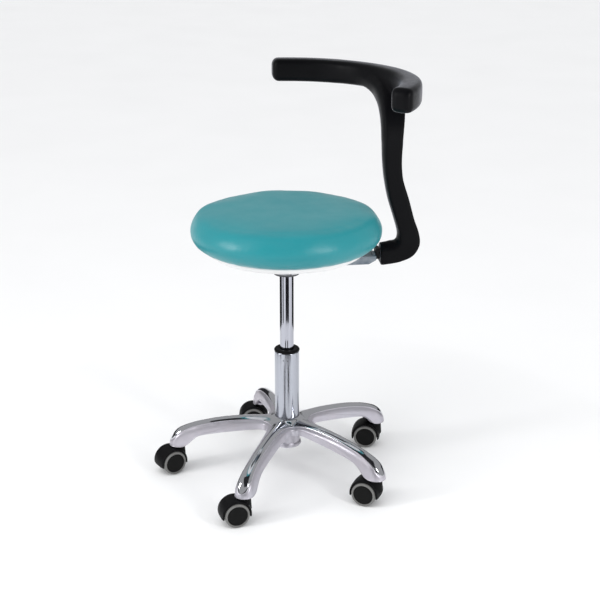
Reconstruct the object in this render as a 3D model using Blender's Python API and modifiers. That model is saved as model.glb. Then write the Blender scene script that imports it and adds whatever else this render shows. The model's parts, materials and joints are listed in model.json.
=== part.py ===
"""Swivel stool on five twin-wheel casters, with a gas lift and a swinging body support arm.

Metres, +Z up. The floor is z = 0, and the origin is the middle of the stool's outline on the
floor. Everything is placed about the column's axis, and the seat is at the top of its travel.
"""
import math

import bmesh
import bpy
from mathutils import Matrix, Vector

# Fits
GAP = 0.0003            # between pieces that touch
RUNNING = 0.0005        # round a piece that turns or slides
EMBED = 0.001           # how far joined solids run into each other
CUT_OVER = 0.005        # how far a cutter passes a face

# Where the column's axis stands from the middle of the outline
COLUMN_X = 0.009
COLUMN_Y = -0.004

# Casters: the way each wheel axle points
AXLE_AZIMUTHS = [math.radians(a) for a in (-98, -85, -58, -72, -112)]
CASTER_NAMES = ["right", "back", "left", "front_left", "front_right"]
WHEEL_RADIUS = 0.025
WHEEL_OUTER_FACE = 0.0225
WHEEL_INNER_FACE = 0.0078
TREAD_THICKNESS = 0.0045
TREAD_INSET = 0.001
TREAD_EDGE = 0.0018
HOOD_THICKNESS = 0.006    # from the wheel's rim to the hood's outside
HOOD_HALF_WIDTH = 0.0205
HOOD_SKIRT_ANGLE = math.radians(12)
HOOD_WEB_HALF = 0.0072
HOOD_BOSS_RADIUS = 0.012
HOOD_NECK = 0.0015        # from the hood's top to the leg's boss
WHEEL_CLEARANCE = 0.0012
CASTER_TRAIL = 0.020
AXLE_RADIUS = 0.003
AXLE_BOSS_WALL = 0.005
AXLE_SHORT = 0.0022       # from an axle's end to the wheel's face
STEM_RADIUS = 0.0055
STEM_IN_HOOD = 0.026
STEM_IN_BASE = 0.020
HOOD_RADIUS = WHEEL_RADIUS + HOOD_THICKNESS

# Base
ARM_COUNT = 5
FIRST_ARM_AZIMUTH = math.radians(32.6)
STEM_CIRCLE_RADIUS = 0.229
HUB_RISE = 0.0625         # the hub's top above a leg's boss
HUB_DROP = 0.0545         # from the hub's shoulder to its foot
HUB_COLLAR = 0.010        # how far the hub climbs the tube above its shoulder
HUB_WALL = 0.0034
BASE_WALL = 0.0035
WEB_RADIUS = 0.049        # the web that ties the legs together round the hub
TIP_BOSS_RADIUS = 0.0195
TIP_BOSS_HEIGHT = 0.040
TIP_BOSS_BOTTOM = WHEEL_RADIUS + HOOD_RADIUS + HOOD_NECK
HUB_TOP = TIP_BOSS_BOTTOM + HUB_RISE
HUB_BOTTOM = HUB_TOP - HUB_DROP

# Column
TUBE_RADIUS = 0.025
TUBE_TAPER = 0.0025       # how much narrower the tube is at its foot
TUBE_WALL = 0.002
TUBE_HEIGHT = 0.208
TUBE_FLOOR_THICKNESS = 0.003
BUSH_LIP_HEIGHT = 0.0055
BUSH_LENGTH = 0.085
CYLINDER_RADIUS = 0.014
CYLINDER_WALL = 0.0018
CYLINDER_TAPER = 0.0003
STROKE = 0.140
ROD_RADIUS = 0.005
PISTON_HEIGHT = 0.014
BEARING_HEIGHT = 0.005
BEARING_RADIUS = 0.013
BUMPER_HEIGHT = 0.010
BUMPER_RADIUS = 0.015
CLIP_HEIGHT = 0.0035
CLIP_RADIUS = 0.011
STOP_SPACE = 0.003
CYLINDER_END_WALL = 0.006
CYLINDER_ROOF = 0.019     # solid top of the cylinder, round the valve
TUBE_FOOT_RADIUS = TUBE_RADIUS - TUBE_TAPER

# Seat
CUSHION_RADIUS = 0.190
CUSHION_TOP = 0.5725
CUSHION_BOTTOM = 0.4995
CUSHION_TOP_EDGE = 0.0426
CUSHION_BOTTOM_EDGE = 0.029
BOARD_THICKNESS = 0.010
CUSHION_OVERHANG = 0.045
PAN_WALL = 0.0025
PAN_FLARE = 0.011
PAN_SEAT_DEPTH = 0.008    # how far the pan's thick middle stands below its outer part
PAN_SEAT_RADIUS = 0.112
PAN_BEND = 0.005
PLATE_SIDE = 0.150
PLATE_THICKNESS = 0.0028
PLATE_CORNER = 0.012
SOCKET_LENGTH = 0.0355
SOCKET_WALL = 0.010
SOCKET_CAVITY = 0.002      # round the cylinder's end
SEAT_BOLT_RADIUS = 0.003
SEAT_BOLT_LENGTH = 0.020
SEAT_BOLT_HEAD_RADIUS = 0.005
SEAT_BOLT_HEAD_HEIGHT = 0.004
SEAT_BOLT_SPACING = 0.110
BOARD_RADIUS = CUSHION_RADIUS - CUSHION_OVERHANG
SOCKET_CAVITY_RADIUS = CYLINDER_RADIUS + SOCKET_CAVITY
SOCKET_RADIUS = SOCKET_CAVITY_RADIUS + SOCKET_WALL

# Height lever
LEVER_AZIMUTH = math.radians(130)
LEVER_RADIUS = 0.004
LEVER_SETBACK = 0.015     # its end from under the cushion's rim
LEVER_STRAIGHT = 0.025    # from the axis to its first bend
LEVER_BEND_OUT = 0.075
LEVER_BEND_DROP = 0.0055
LEVER_DROP = 0.0165
GRIP_RADIUS = 0.008
GRIP_LENGTH = 0.045
VALVE_PIN_RADIUS = 0.003
VALVE_PIN_LENGTH = 0.0147
VALVE_TRAVEL = 0.003
LEVER_LENGTH = CUSHION_RADIUS - LEVER_SETBACK

# Body support
ARM_AZIMUTH = math.radians(6)
BRACKET_HALF_WIDTH = 0.020
BRACKET_WALL = 0.003
BRACKET_SETBACK = 0.0125  # its end from under the cushion's rim
BRACKET_STEP = 0.118      # where its top steps up
BRACKET_STEP_RUN = 0.010
BRACKET_NOSE = 0.0145     # the cut corner below its end
BRACKET_RING_WALL = 0.010
BRACKET_LUG_LENGTH = 0.032  # the solid lug between the ring and the channel
BRACKET_LUG_INSET = 0.001
BRACKET_RING_THICKNESS = 0.0085
BRACKET_HEIGHT = 0.016
BRACKET_LOW_HEIGHT = 0.009
ARM_CLIP_HEIGHT = 0.0035
ARM_CLIP_WIDTH = 0.0077
TONGUE_HALF_WIDTH = 0.0095
TONGUE_HEIGHT = 0.008
TONGUE_LENGTH = 0.0445
TONGUE_DROP = 0.0055      # from the bracket's top
FOOT_BELOW_TONGUE = 0.0148
PIVOT_BUSH_LENGTH = 0.0084
PIVOT_BUSH_HALF_WIDTH = 0.012
SUPPORT_HALF_WIDTH = 0.020
ARM_BOLT_RADIUS = 0.003
ARM_BOLT_HEAD_RADIUS = 0.0055
ARM_BOLT_HEAD_HEIGHT = 0.0045
ARM_BOLT_SET_IN = 0.018
ARM_BOLT_DROP = 0.0095    # from the tongue to the head's underside
BAR_OUTSIDE = 0.0475      # the bar's middle line, out from the cushion's rim
BAR_DEPTH = 0.042
BAR_HEIGHT = 0.047
BAR_ABOVE_SEAT = 0.2345   # the bar's middle above the cushion's top
ELBOW_DROP = 0.107        # from the bar's middle to where the stem starts to turn
BAR_NEAR_ANGLE = math.radians(-35.5)
BAR_FAR_ANGLE = math.radians(91)
BAR_CORNER = 0.013
ELBOW_END_ANGLE = math.radians(48)
STEM_CORNER = 0.004
BRACKET_END = CUSHION_RADIUS - BRACKET_SETBACK
BAR_RADIUS = CUSHION_RADIUS + BAR_OUTSIDE
BAR_CENTRE_Z = CUSHION_TOP + BAR_ABOVE_SEAT
ELBOW_START_Z = BAR_CENTRE_Z - ELBOW_DROP

# Facets
FINE_STEPS = 32
ROUND_STEPS = 20
SMALL_STEPS = 12
WHEEL_STEPS = 22        # even but not a multiple of 4, so a flat facet is at the bottom

# Heights that follow from the values above
BOARD_TOP = CUSHION_BOTTOM - GAP
BOARD_BOTTOM = BOARD_TOP - BOARD_THICKNESS
PAN_FLOOR_TOP = BOARD_BOTTOM - GAP
PAN_EDGE = PAN_FLOOR_TOP - PAN_WALL
PAN_BOTTOM = PAN_EDGE - PAN_SEAT_DEPTH
PLATE_TOP = PAN_BOTTOM - GAP
PLATE_BOTTOM = PLATE_TOP - PLATE_THICKNESS
SOCKET_BOTTOM = PLATE_BOTTOM - SOCKET_LENGTH
BRACKET_TOP = PLATE_BOTTOM - RUNNING
BRACKET_BOTTOM = BRACKET_TOP - BRACKET_HEIGHT
BRACKET_RING_BOTTOM = BRACKET_BOTTOM - BRACKET_RING_THICKNESS
ARM_CLIP_TOP = BRACKET_RING_BOTTOM - RUNNING
BRACKET_LOW_TOP = BRACKET_BOTTOM + BRACKET_LOW_HEIGHT
LEVER_Z = BRACKET_LOW_TOP
CYLINDER_TOP = LEVER_Z - LEVER_RADIUS - VALVE_TRAVEL
LEVER_FULCRUM = (SOCKET_RADIUS + SOCKET_CAVITY_RADIUS) / 2
TUBE_FOOT = HUB_BOTTOM + EMBED
TUBE_TOP = TUBE_FOOT + TUBE_HEIGHT
BUSH_TOP = TUBE_TOP + BUSH_LIP_HEIGHT
TUBE_FLOOR_BOTTOM = TUBE_FOOT + 0.0075
TUBE_FLOOR_TOP = TUBE_FLOOR_BOTTOM + TUBE_FLOOR_THICKNESS
BEARING_BOTTOM = TUBE_FLOOR_TOP + GAP
BUMPER_BOTTOM = BEARING_BOTTOM + BEARING_HEIGHT + GAP
CYLINDER_BOTTOM = BUMPER_BOTTOM + BUMPER_HEIGHT + STOP_SPACE + STROKE
PISTON_BOTTOM = CYLINDER_BOTTOM + CYLINDER_END_WALL + STOP_SPACE
TONGUE_BOTTOM = BRACKET_TOP - TONGUE_DROP
FOOT_START = BRACKET_END + PIVOT_BUSH_LENGTH + 3 * GAP
ARM_BOLT_AT = FOOT_START + ARM_BOLT_SET_IN
ARM_BOLT_HEAD_LOW = TONGUE_BOTTOM - ARM_BOLT_DROP
STEM_TOP = TIP_BOSS_BOTTOM + STEM_IN_BASE
STEM_BOTTOM = TIP_BOSS_BOTTOM - STEM_IN_HOOD


# ---------------------------------------------------------------- shared makers

def clear_scene():
    for old in list(bpy.data.objects):
        bpy.data.objects.remove(old, do_unlink=True)


def new_collection(name):
    collection = bpy.data.collections.new(name)
    bpy.context.scene.collection.children.link(collection)
    return collection


def material(name, colour, roughness, metallic):
    made = bpy.data.materials.new(name)
    made.use_nodes = True
    shader = made.node_tree.nodes["Principled BSDF"]
    shader.inputs["Base Color"].default_value = (*colour, 1)
    shader.inputs["Roughness"].default_value = roughness
    shader.inputs["Metallic"].default_value = metallic
    return made


def add_object(name, mesh, finish=None, parent=None, location=(0, 0, 0), turn=(0, 0, 0)):
    """A part when it has a finish, else a cutter or a joining solid."""
    made = bpy.data.objects.new(name, mesh)
    if finish:
        PARTS.objects.link(made)
        mesh.materials.append(finish)
    else:
        HELPERS.objects.link(made)
        made.hide_render = True
        made.display_type = "WIRE"
    made.parent = parent or STOOL
    made.location = location
    made.rotation_euler = turn
    return made


def add_empty(name, parent=None, location=(0, 0, 0), turn=(0, 0, 0)):
    empty = bpy.data.objects.new(name, None)
    PARTS.objects.link(empty)
    empty.parent = parent or STOOL
    empty.location = location
    empty.rotation_euler = turn
    return empty


def turned_mesh(name, profile, steps, closed):
    """The mesh of a profile in the XZ plane turned about Z. It runs down its outer side."""
    mesh = bpy.data.meshes.new(name)
    points = [(r, 0, z) for r, z in profile]
    edges = [(i, i + 1) for i in range(len(points) - 1)]
    if closed:
        edges.append((len(points) - 1, 0))
    mesh.from_pydata(points, edges, [])
    turner = bpy.data.objects.new(name + "_profile", mesh)
    HELPERS.objects.link(turner)
    screw = turner.modifiers.new("Screw", "SCREW")
    screw.steps = steps
    screw.render_steps = steps
    screw.use_merge_vertices = True
    screw.merge_threshold = 1e-5
    screw.use_smooth_shade = False
    bpy.context.view_layer.update()
    graph = bpy.context.evaluated_depsgraph_get()
    made = bpy.data.meshes.new_from_object(turner.evaluated_get(graph))
    made.name = name
    bpy.data.objects.remove(turner, do_unlink=True)
    return made


def turned(name, profile, steps, finish=None, closed=True, **place):
    """A turned piece: a closed profile off the axis, or an open one from axis to axis."""
    return add_object(name, turned_mesh(name, profile, steps, closed), finish, **place)


def rod_mesh(name, radius, low, high, steps):
    return turned_mesh(name, [(0, high), (radius, high), (radius, low), (0, low)], steps, False)


def cylinder(name, radius, low, high, steps, finish=None, **place):
    return add_object(name, rod_mesh(name, radius, low, high, steps), finish, **place)


def ring(name, inner, outer, low, high, steps, finish=None, **place):
    profile = [(inner, high), (outer, high), (outer, low), (inner, low)]
    return turned(name, profile, steps, finish, **place)


def box(name, low, high, finish=None, **place):
    """A box between two corners, made from a cube so that its size is in its mesh."""
    low, high = Vector(low), Vector(high)
    mesh = bpy.data.meshes.new(name)
    shape = bmesh.new()
    bmesh.ops.create_cube(shape, size=1)
    centre = Matrix.Translation((low + high) / 2)
    bmesh.ops.transform(shape, matrix=centre @ Matrix.Diagonal((*(high - low), 1)), verts=shape.verts)
    shape.to_mesh(mesh)
    shape.free()
    return add_object(name, mesh, finish, **place)


def prism_mesh(name, outline, half):
    """A flat outline in XY given thickness both ways along Z, as one welded mesh."""
    curve = bpy.data.curves.new(name, "CURVE")
    curve.dimensions = "2D"
    curve.fill_mode = "BOTH"
    curve.extrude = half
    spline = curve.splines.new("POLY")
    spline.points.add(len(outline) - 1)
    for point, (x, y) in zip(spline.points, outline):
        point.co = (x, y, 0, 1)
    spline.use_cyclic_u = True
    holder = bpy.data.objects.new(name + "_outline", curve)
    HELPERS.objects.link(holder)
    bpy.context.view_layer.update()
    graph = bpy.context.evaluated_depsgraph_get()
    mesh = bpy.data.meshes.new_from_object(holder.evaluated_get(graph))
    bpy.data.objects.remove(holder, do_unlink=True)
    weld(mesh)
    return mesh


def weld(mesh):
    shape = bmesh.new()
    shape.from_mesh(mesh)
    bmesh.ops.remove_doubles(shape, verts=shape.verts, dist=1e-6)
    bmesh.ops.recalc_face_normals(shape, faces=shape.faces)
    shape.to_mesh(mesh)
    shape.free()


def loft_mesh(name, sections):
    """Skin through sections of equal point counts, closed by a face at each end."""
    mesh = bpy.data.meshes.new(name)
    shape = bmesh.new()
    rings = [[shape.verts.new(point) for point in section] for section in sections]
    for near, far in zip(rings, rings[1:]):
        for i in range(len(near)):
            j = (i + 1) % len(near)
            shape.faces.new((near[i], near[j], far[j], far[i]))
    shape.faces.new(rings[0])
    shape.faces.new(rings[-1])
    bmesh.ops.recalc_face_normals(shape, faces=shape.faces)
    shape.to_mesh(mesh)
    shape.free()
    return mesh


def boolean(target, other, operation):
    change = target.modifiers.new(operation.title() + " " + other.name, "BOOLEAN")
    change.operation = operation
    change.object = other
    change.solver = "EXACT"


def cut(target, *cutters):
    for cutter in cutters:
        boolean(target, cutter, "DIFFERENCE")


def join(target, *others):
    for other in others:
        boolean(target, other, "UNION")


def arc(centre, radius, first, last, count):
    """Points on an arc, from angle first to angle last, with both ends."""
    turn = (last - first) / (count - 1)
    return [
        (centre[0] + radius * math.cos(first + turn * i), centre[1] + radius * math.sin(first + turn * i))
        for i in range(count)
    ]


def between(table, at):
    """Values of a table of rows, smooth (Catmull-Rom) between rows; at runs from 0 to len - 1."""
    row = min(int(at), len(table) - 2)
    part = at - row
    before = table[max(row - 1, 0)]
    after = table[min(row + 2, len(table) - 1)]
    made = []
    for a, b, c, d in zip(before, table[row], table[row + 1], after):
        cubic = -a + 3 * b - 3 * c + d
        square = 2 * a - 5 * b + 4 * c - d
        made.append(b + part * ((c - a) + part * (square + part * cubic)) / 2)
    return made


# ---------------------------------------------------------------- base

def base_arm_mesh(name):
    """One leg along +X: an inverted channel whose ridge falls towards the caster."""
    tip_top = TIP_BOSS_BOTTOM + TIP_BOSS_HEIGHT * 0.9
    reach = STEM_CIRCLE_RADIUS
    # distance out, half width, ridge height, skirt bottom
    table = [
        (0.010, 0.0200, HUB_TOP + 0.003, HUB_TOP - 0.0187),
        (0.041, 0.0290, HUB_TOP + 0.007, HUB_TOP - 0.0153),
        (0.060, 0.0235, HUB_TOP + 0.008, HUB_TOP - 0.016),
        (0.090, 0.0195, HUB_TOP + 0.006, HUB_TOP - 0.020),
        (reach - 0.089, 0.0178, HUB_TOP, HUB_TOP - 0.027),
        (reach - 0.044, 0.0180, HUB_TOP - 0.010, HUB_TOP - 0.036),
        (reach - 0.022, 0.0185, HUB_TOP - 0.018, TIP_BOSS_BOTTOM + 0.010),
        (reach - 0.006, 0.0190, tip_top - 0.003, TIP_BOSS_BOTTOM + 0.002),
    ]
    wall = BASE_WALL
    sections = []
    for x, half, top, bottom in table:
        side = min(0.010, (top - bottom) * 0.45)
        right = [(half, bottom), (half, top - side), (0.82 * half, top - 0.5 * side), (0.45 * half, top - 0.15 * side)]
        inner = [(0.45 * half, top - 0.15 * side - wall), (half - wall, top - side - 0.6 * wall), (half - wall, bottom)]
        outer = right + [(0, top)] + [(-y, z) for y, z in reversed(right)]
        under = [(-y, z) for y, z in reversed(inner)] + inner
        sections.append([Vector((x, y, z)) for y, z in outer + under])
    return loft_mesh(name, sections)


def tip_boss_mesh(name):
    """The domed end of a leg, down to the ring that takes the caster's stem."""
    shoulder = TIP_BOSS_BOTTOM + TIP_BOSS_HEIGHT * 0.45
    crown = TIP_BOSS_BOTTOM + TIP_BOSS_HEIGHT
    dome = [
        (TIP_BOSS_RADIUS * math.sin(a), shoulder + (crown - shoulder) * math.cos(a))
        for a in [math.radians(22.5 * i) for i in range(5)]
    ]
    profile = dome + [(TIP_BOSS_RADIUS, TIP_BOSS_BOTTOM), (0, TIP_BOSS_BOTTOM)]
    return turned_mesh(name, profile, ROUND_STEPS, False)


def hub_mesh(name):
    """The hub before its bore is cut: shoulder, leg zone and the flanged boss below."""
    boss = TUBE_FOOT_RADIUS + GAP + HUB_WALL
    middle = TUBE_RADIUS + GAP + HUB_WALL + 0.002
    profile = [
        (0, HUB_TOP + HUB_COLLAR),
        (TUBE_RADIUS + 0.0020, HUB_TOP + HUB_COLLAR),
        (TUBE_RADIUS + 0.0060, HUB_TOP + HUB_COLLAR - 0.005),
        (WEB_RADIUS - 0.004, HUB_TOP - 0.0005),
        (WEB_RADIUS, HUB_TOP - 0.004),
        (WEB_RADIUS, HUB_TOP - 0.0158),
        (middle, HUB_TOP - 0.024),
        (boss + 0.0005, HUB_TOP - 0.028),
        (boss, HUB_BOTTOM + 0.005),
        (boss + 0.0018, HUB_BOTTOM + 0.004),
        (boss + 0.0018, HUB_BOTTOM),
        (0, HUB_BOTTOM),
    ]
    return turned_mesh(name, profile, FINE_STEPS, False)


def tube_outer_radius(z):
    """The column tube is straight above the hub and tapers inside it."""
    share = (HUB_TOP - z) / (HUB_TOP - TUBE_FOOT)
    return TUBE_RADIUS - (TUBE_RADIUS - TUBE_FOOT_RADIUS) * max(0, share)


def make_base():
    star = add_object("base_star", hub_mesh("hub"), FINISH["aluminium"])
    leg, boss = base_arm_mesh("leg"), tip_boss_mesh("tip_boss")
    bores = []
    for i in range(ARM_COUNT):
        azimuth = FIRST_ARM_AZIMUTH + 2 * math.pi * i / ARM_COUNT
        tip = leg_tip(i)
        join(star, add_object(f"leg_{i}", leg, turn=(0, 0, azimuth)))
        join(star, add_object(f"tip_boss_{i}", boss, location=(tip.x, tip.y, 0), turn=(0, 0, azimuth + 0.1)))
        bores.append(
            cylinder(f"stem_bore_{i}", STEM_RADIUS + GAP, TIP_BOSS_BOTTOM - CUT_OVER, STEM_TOP + GAP,
                     SMALL_STEPS, location=(tip.x, tip.y, 0))
        )
    low, high = HUB_BOTTOM - CUT_OVER, HUB_TOP + 4 * CUT_OVER
    bore = [
        (0, high),
        (tube_outer_radius(high) + GAP, high),
        (tube_outer_radius(HUB_TOP) + GAP, HUB_TOP),
        (tube_outer_radius(low) + GAP, low),
        (0, low),
    ]
    cut(star, turned("hub_bore", bore, FINE_STEPS, closed=False), *bores)


def leg_tip(i):
    azimuth = FIRST_ARM_AZIMUTH + 2 * math.pi * i / ARM_COUNT
    return Vector((STEM_CIRCLE_RADIUS * math.cos(azimuth), STEM_CIRCLE_RADIUS * math.sin(azimuth), 0))


# ---------------------------------------------------------------- column and gas lift

def make_column():
    inner = TUBE_RADIUS - TUBE_WALL
    hole = ROD_RADIUS + RUNNING
    foot_inner = tube_outer_radius(TUBE_FLOOR_TOP) - TUBE_WALL
    turned("column_tube", [
        (inner, TUBE_TOP),
        (TUBE_RADIUS, TUBE_TOP),
        (TUBE_RADIUS, HUB_TOP),
        (TUBE_FOOT_RADIUS, TUBE_FOOT),
        (TUBE_FOOT_RADIUS - TUBE_WALL, TUBE_FOOT),
        (foot_inner, TUBE_FLOOR_BOTTOM),
        (hole, TUBE_FLOOR_BOTTOM),
        (hole, TUBE_FLOOR_TOP),
        (foot_inner, TUBE_FLOOR_TOP),
        (inner, HUB_TOP),
    ], FINE_STEPS, FINISH["chrome"])
    bush_outer = inner - GAP
    bush_inner = CYLINDER_RADIUS + GAP
    lip = TUBE_RADIUS + 0.001
    rest = TUBE_TOP + GAP
    turned("guide_bush", [
        (bush_inner, BUSH_TOP),
        (lip - 0.002, BUSH_TOP),
        (lip, BUSH_TOP - 0.002),
        (lip, rest),
        (bush_outer, rest),
        (bush_outer, rest - BUSH_LENGTH),
        (bush_inner, rest - BUSH_LENGTH),
    ], ROUND_STEPS, FINISH["black_plastic"])
    ring("thrust_bearing", hole, BEARING_RADIUS, BEARING_BOTTOM, BEARING_BOTTOM + BEARING_HEIGHT,
         ROUND_STEPS, FINISH["steel"])
    ring("rubber_bumper", hole, BUMPER_RADIUS, BUMPER_BOTTOM, BUMPER_BOTTOM + BUMPER_HEIGHT,
         ROUND_STEPS, FINISH["rubber"])


def make_gas_lift():
    piston_top = PISTON_BOTTOM + PISTON_HEIGHT
    clip_top = TUBE_FLOOR_BOTTOM - RUNNING
    cylinder("piston_rod", ROD_RADIUS, clip_top - CLIP_HEIGHT - 0.004, piston_top, SMALL_STEPS, FINISH["chrome"])
    ring("piston", ROD_RADIUS + GAP, CYLINDER_RADIUS - CYLINDER_WALL - RUNNING, PISTON_BOTTOM,
         piston_top, ROUND_STEPS, FINISH["black_plastic"])
    ring("retaining_clip", ROD_RADIUS + GAP, CLIP_RADIUS, clip_top - CLIP_HEIGHT, clip_top, SMALL_STEPS, FINISH["steel"])
    bore = CYLINDER_RADIUS - CYLINDER_WALL
    pin_hole = VALVE_PIN_RADIUS + GAP
    roof = CYLINDER_TOP - CYLINDER_ROOF
    turned("gas_cylinder", [
        (pin_hole, CYLINDER_TOP),
        (CYLINDER_RADIUS - CYLINDER_TAPER, CYLINDER_TOP),
        (CYLINDER_RADIUS, SOCKET_BOTTOM),
        (CYLINDER_RADIUS, CYLINDER_BOTTOM),
        (ROD_RADIUS + RUNNING, CYLINDER_BOTTOM),
        (ROD_RADIUS + RUNNING, CYLINDER_BOTTOM + CYLINDER_END_WALL),
        (bore, CYLINDER_BOTTOM + CYLINDER_END_WALL),
        (bore, roof),
        (pin_hole, roof),
    ], ROUND_STEPS, FINISH["chrome"])
    pin_top = LEVER_Z - LEVER_RADIUS - GAP
    cylinder("valve_pin", VALVE_PIN_RADIUS, pin_top - VALVE_PIN_LENGTH, pin_top, SMALL_STEPS, FINISH["steel"])


# ---------------------------------------------------------------- seat

def make_cushion():
    flat_top = CUSHION_RADIUS - CUSHION_TOP_EDGE
    flat_bottom = CUSHION_RADIUS - CUSHION_BOTTOM_EDGE
    quarter = math.pi / 2
    profile = [(0, CUSHION_TOP)]
    profile += arc((flat_top, CUSHION_TOP - CUSHION_TOP_EDGE), CUSHION_TOP_EDGE, quarter, 0, 5)
    profile += arc((flat_bottom, CUSHION_BOTTOM + CUSHION_BOTTOM_EDGE), CUSHION_BOTTOM_EDGE, 0, -quarter, 4)
    profile.append((0, CUSHION_BOTTOM))
    turned("seat_cushion", profile, FINE_STEPS, FINISH["leatherette"], closed=False)


def bolt_places(spacing):
    half = spacing / 2
    return [(half, half), (-half, half), (-half, -half), (half, -half)]


def make_seat_base(frame):
    """Board, pan and plate share one set of bolt holes. The plate's sides line up with the lever."""
    board = cylinder("seat_board", BOARD_RADIUS, BOARD_BOTTOM, BOARD_TOP, ROUND_STEPS, FINISH["plywood"], parent=frame)
    floor_radius = BOARD_RADIUS + PAN_WALL + 0.001
    rim = floor_radius + PAN_FLARE
    rim_top = BOARD_TOP - GAP
    bend = PAN_EDGE + PAN_BEND
    socket_hole = SOCKET_RADIUS + 0.002
    pan = turned("seat_pan", [
        (rim - PAN_WALL, rim_top),
        (rim, rim_top),
        (rim - 0.0025, bend),
        (floor_radius, PAN_EDGE),
        (PAN_SEAT_RADIUS + PAN_SEAT_DEPTH, PAN_EDGE),
        (PAN_SEAT_RADIUS, PAN_BOTTOM),
        (socket_hole, PAN_BOTTOM),
        (socket_hole, PAN_FLOOR_TOP),
        (floor_radius - 0.0015, PAN_FLOOR_TOP),
        (rim - 0.0025 - PAN_WALL, bend + 0.0006),
    ], FINE_STEPS, FINISH["white_plastic"], parent=frame)
    plate = make_plate(frame)
    bolt_top = PLATE_BOTTOM + SEAT_BOLT_LENGTH
    head_low = PLATE_BOTTOM - GAP - SEAT_BOLT_HEAD_HEIGHT
    bolt_profile = [
        (0, bolt_top),
        (SEAT_BOLT_RADIUS, bolt_top),
        (SEAT_BOLT_RADIUS, PLATE_BOTTOM - GAP),
        (SEAT_BOLT_HEAD_RADIUS, PLATE_BOTTOM - GAP),
        (SEAT_BOLT_HEAD_RADIUS, head_low),
        (0, head_low),
    ]
    bolt = turned_mesh("seat_bolt", bolt_profile, SMALL_STEPS, False)
    for i, (x, y) in enumerate(bolt_places(SEAT_BOLT_SPACING)):
        add_object(f"seat_bolt_{i + 1}", bolt.copy(), FINISH["steel"], parent=frame, location=(x, y, 0))
        hole = cylinder(f"bolt_hole_{i + 1}", SEAT_BOLT_RADIUS + GAP, PLATE_BOTTOM - CUT_OVER,
                        bolt_top + GAP, SMALL_STEPS, parent=frame, location=(x, y, 0))
        for piece in (board, pan, plate):
            cut(piece, hole)


def make_plate(frame):
    """The steel mounting plate with the taper socket under it and the slot for the lever."""
    half = PLATE_SIDE / 2
    corner = PLATE_CORNER
    centres = [(half - corner, half - corner), (corner - half, half - corner),
               (corner - half, corner - half), (half - corner, corner - half)]
    outline = []
    for i, centre in enumerate(centres):
        outline += arc(centre, corner, i * math.pi / 2, (i + 1) * math.pi / 2, 4)
    mesh = prism_mesh("plate", outline, PLATE_THICKNESS / 2)
    mesh.transform(Matrix.Translation((0, 0, PLATE_BOTTOM + PLATE_THICKNESS / 2)))
    plate = add_object("seat_plate", mesh, FINISH["dark_steel"], parent=frame)
    join(plate, cylinder("socket", SOCKET_RADIUS, SOCKET_BOTTOM, PLATE_BOTTOM + EMBED, ROUND_STEPS, parent=frame))
    taper = CYLINDER_RADIUS + GAP
    bore = [
        (0, PLATE_TOP - 0.0015),
        (SOCKET_CAVITY_RADIUS, PLATE_TOP - 0.0015),
        (SOCKET_CAVITY_RADIUS, CYLINDER_TOP),
        (taper - CYLINDER_TAPER, CYLINDER_TOP),
        (taper, SOCKET_BOTTOM),
        (taper, SOCKET_BOTTOM - CUT_OVER),
        (0, SOCKET_BOTTOM - CUT_OVER),
    ]
    slot_low = LEVER_Z - LEVER_RADIUS - RUNNING
    slot_high = PLATE_BOTTOM - 0.001
    slot = box("lever_slot", (0, -LEVER_RADIUS - RUNNING, slot_low),
               (SOCKET_RADIUS + CUT_OVER, LEVER_RADIUS + RUNNING, slot_high), parent=frame)
    cut(plate, turned("socket_bore", bore, ROUND_STEPS, closed=False, parent=frame), slot)
    return plate


# ---------------------------------------------------------------- height lever

def make_lever(seat_frame):
    """A bent rod that rocks on the socket's wall; the fulcrum is its joint axis."""
    pivot = add_empty("lever_axis", seat_frame, location=(LEVER_FULCRUM, 0, LEVER_Z))
    start = -LEVER_FULCRUM - 0.005
    points = [
        (start, 0),
        (LEVER_STRAIGHT - LEVER_FULCRUM, 0),
        (LEVER_BEND_OUT - LEVER_FULCRUM, -LEVER_BEND_DROP),
        (LEVER_LENGTH - LEVER_FULCRUM, -LEVER_DROP),
    ]
    curve = bpy.data.curves.new("release_lever", "CURVE")
    curve.dimensions = "3D"
    curve.bevel_depth = LEVER_RADIUS
    curve.bevel_resolution = 2
    curve.use_fill_caps = True
    spline = curve.splines.new("POLY")
    spline.points.add(len(points) - 1)
    for point, (x, z) in zip(spline.points, points):
        point.co = (x, 0, z, 1)
    curve.materials.append(FINISH["steel"])
    lever = bpy.data.objects.new("release_lever", curve)
    PARTS.objects.link(lever)
    lever.parent = pivot
    last, before = points[-1], points[-2]
    slope = math.atan2(before[1] - last[1], last[0] - before[0])
    outer = GRIP_LENGTH * 0.28
    inner = outer - GRIP_LENGTH
    bore = LEVER_RADIUS + GAP
    turned("lever_grip", [
        (0, outer),
        (GRIP_RADIUS * 0.7, outer),
        (GRIP_RADIUS, outer - 0.003),
        (GRIP_RADIUS * 0.85, inner + 0.002),
        (GRIP_RADIUS * 0.7, inner),
        (bore, inner),
        (bore, GAP),
        (0, GAP),
    ], ROUND_STEPS // 2, FINISH["black_plastic"], closed=False, parent=pivot,
           location=(last[0], 0, last[1]), turn=(0, math.pi / 2 + slope, 0))


# ---------------------------------------------------------------- body support arm

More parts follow.
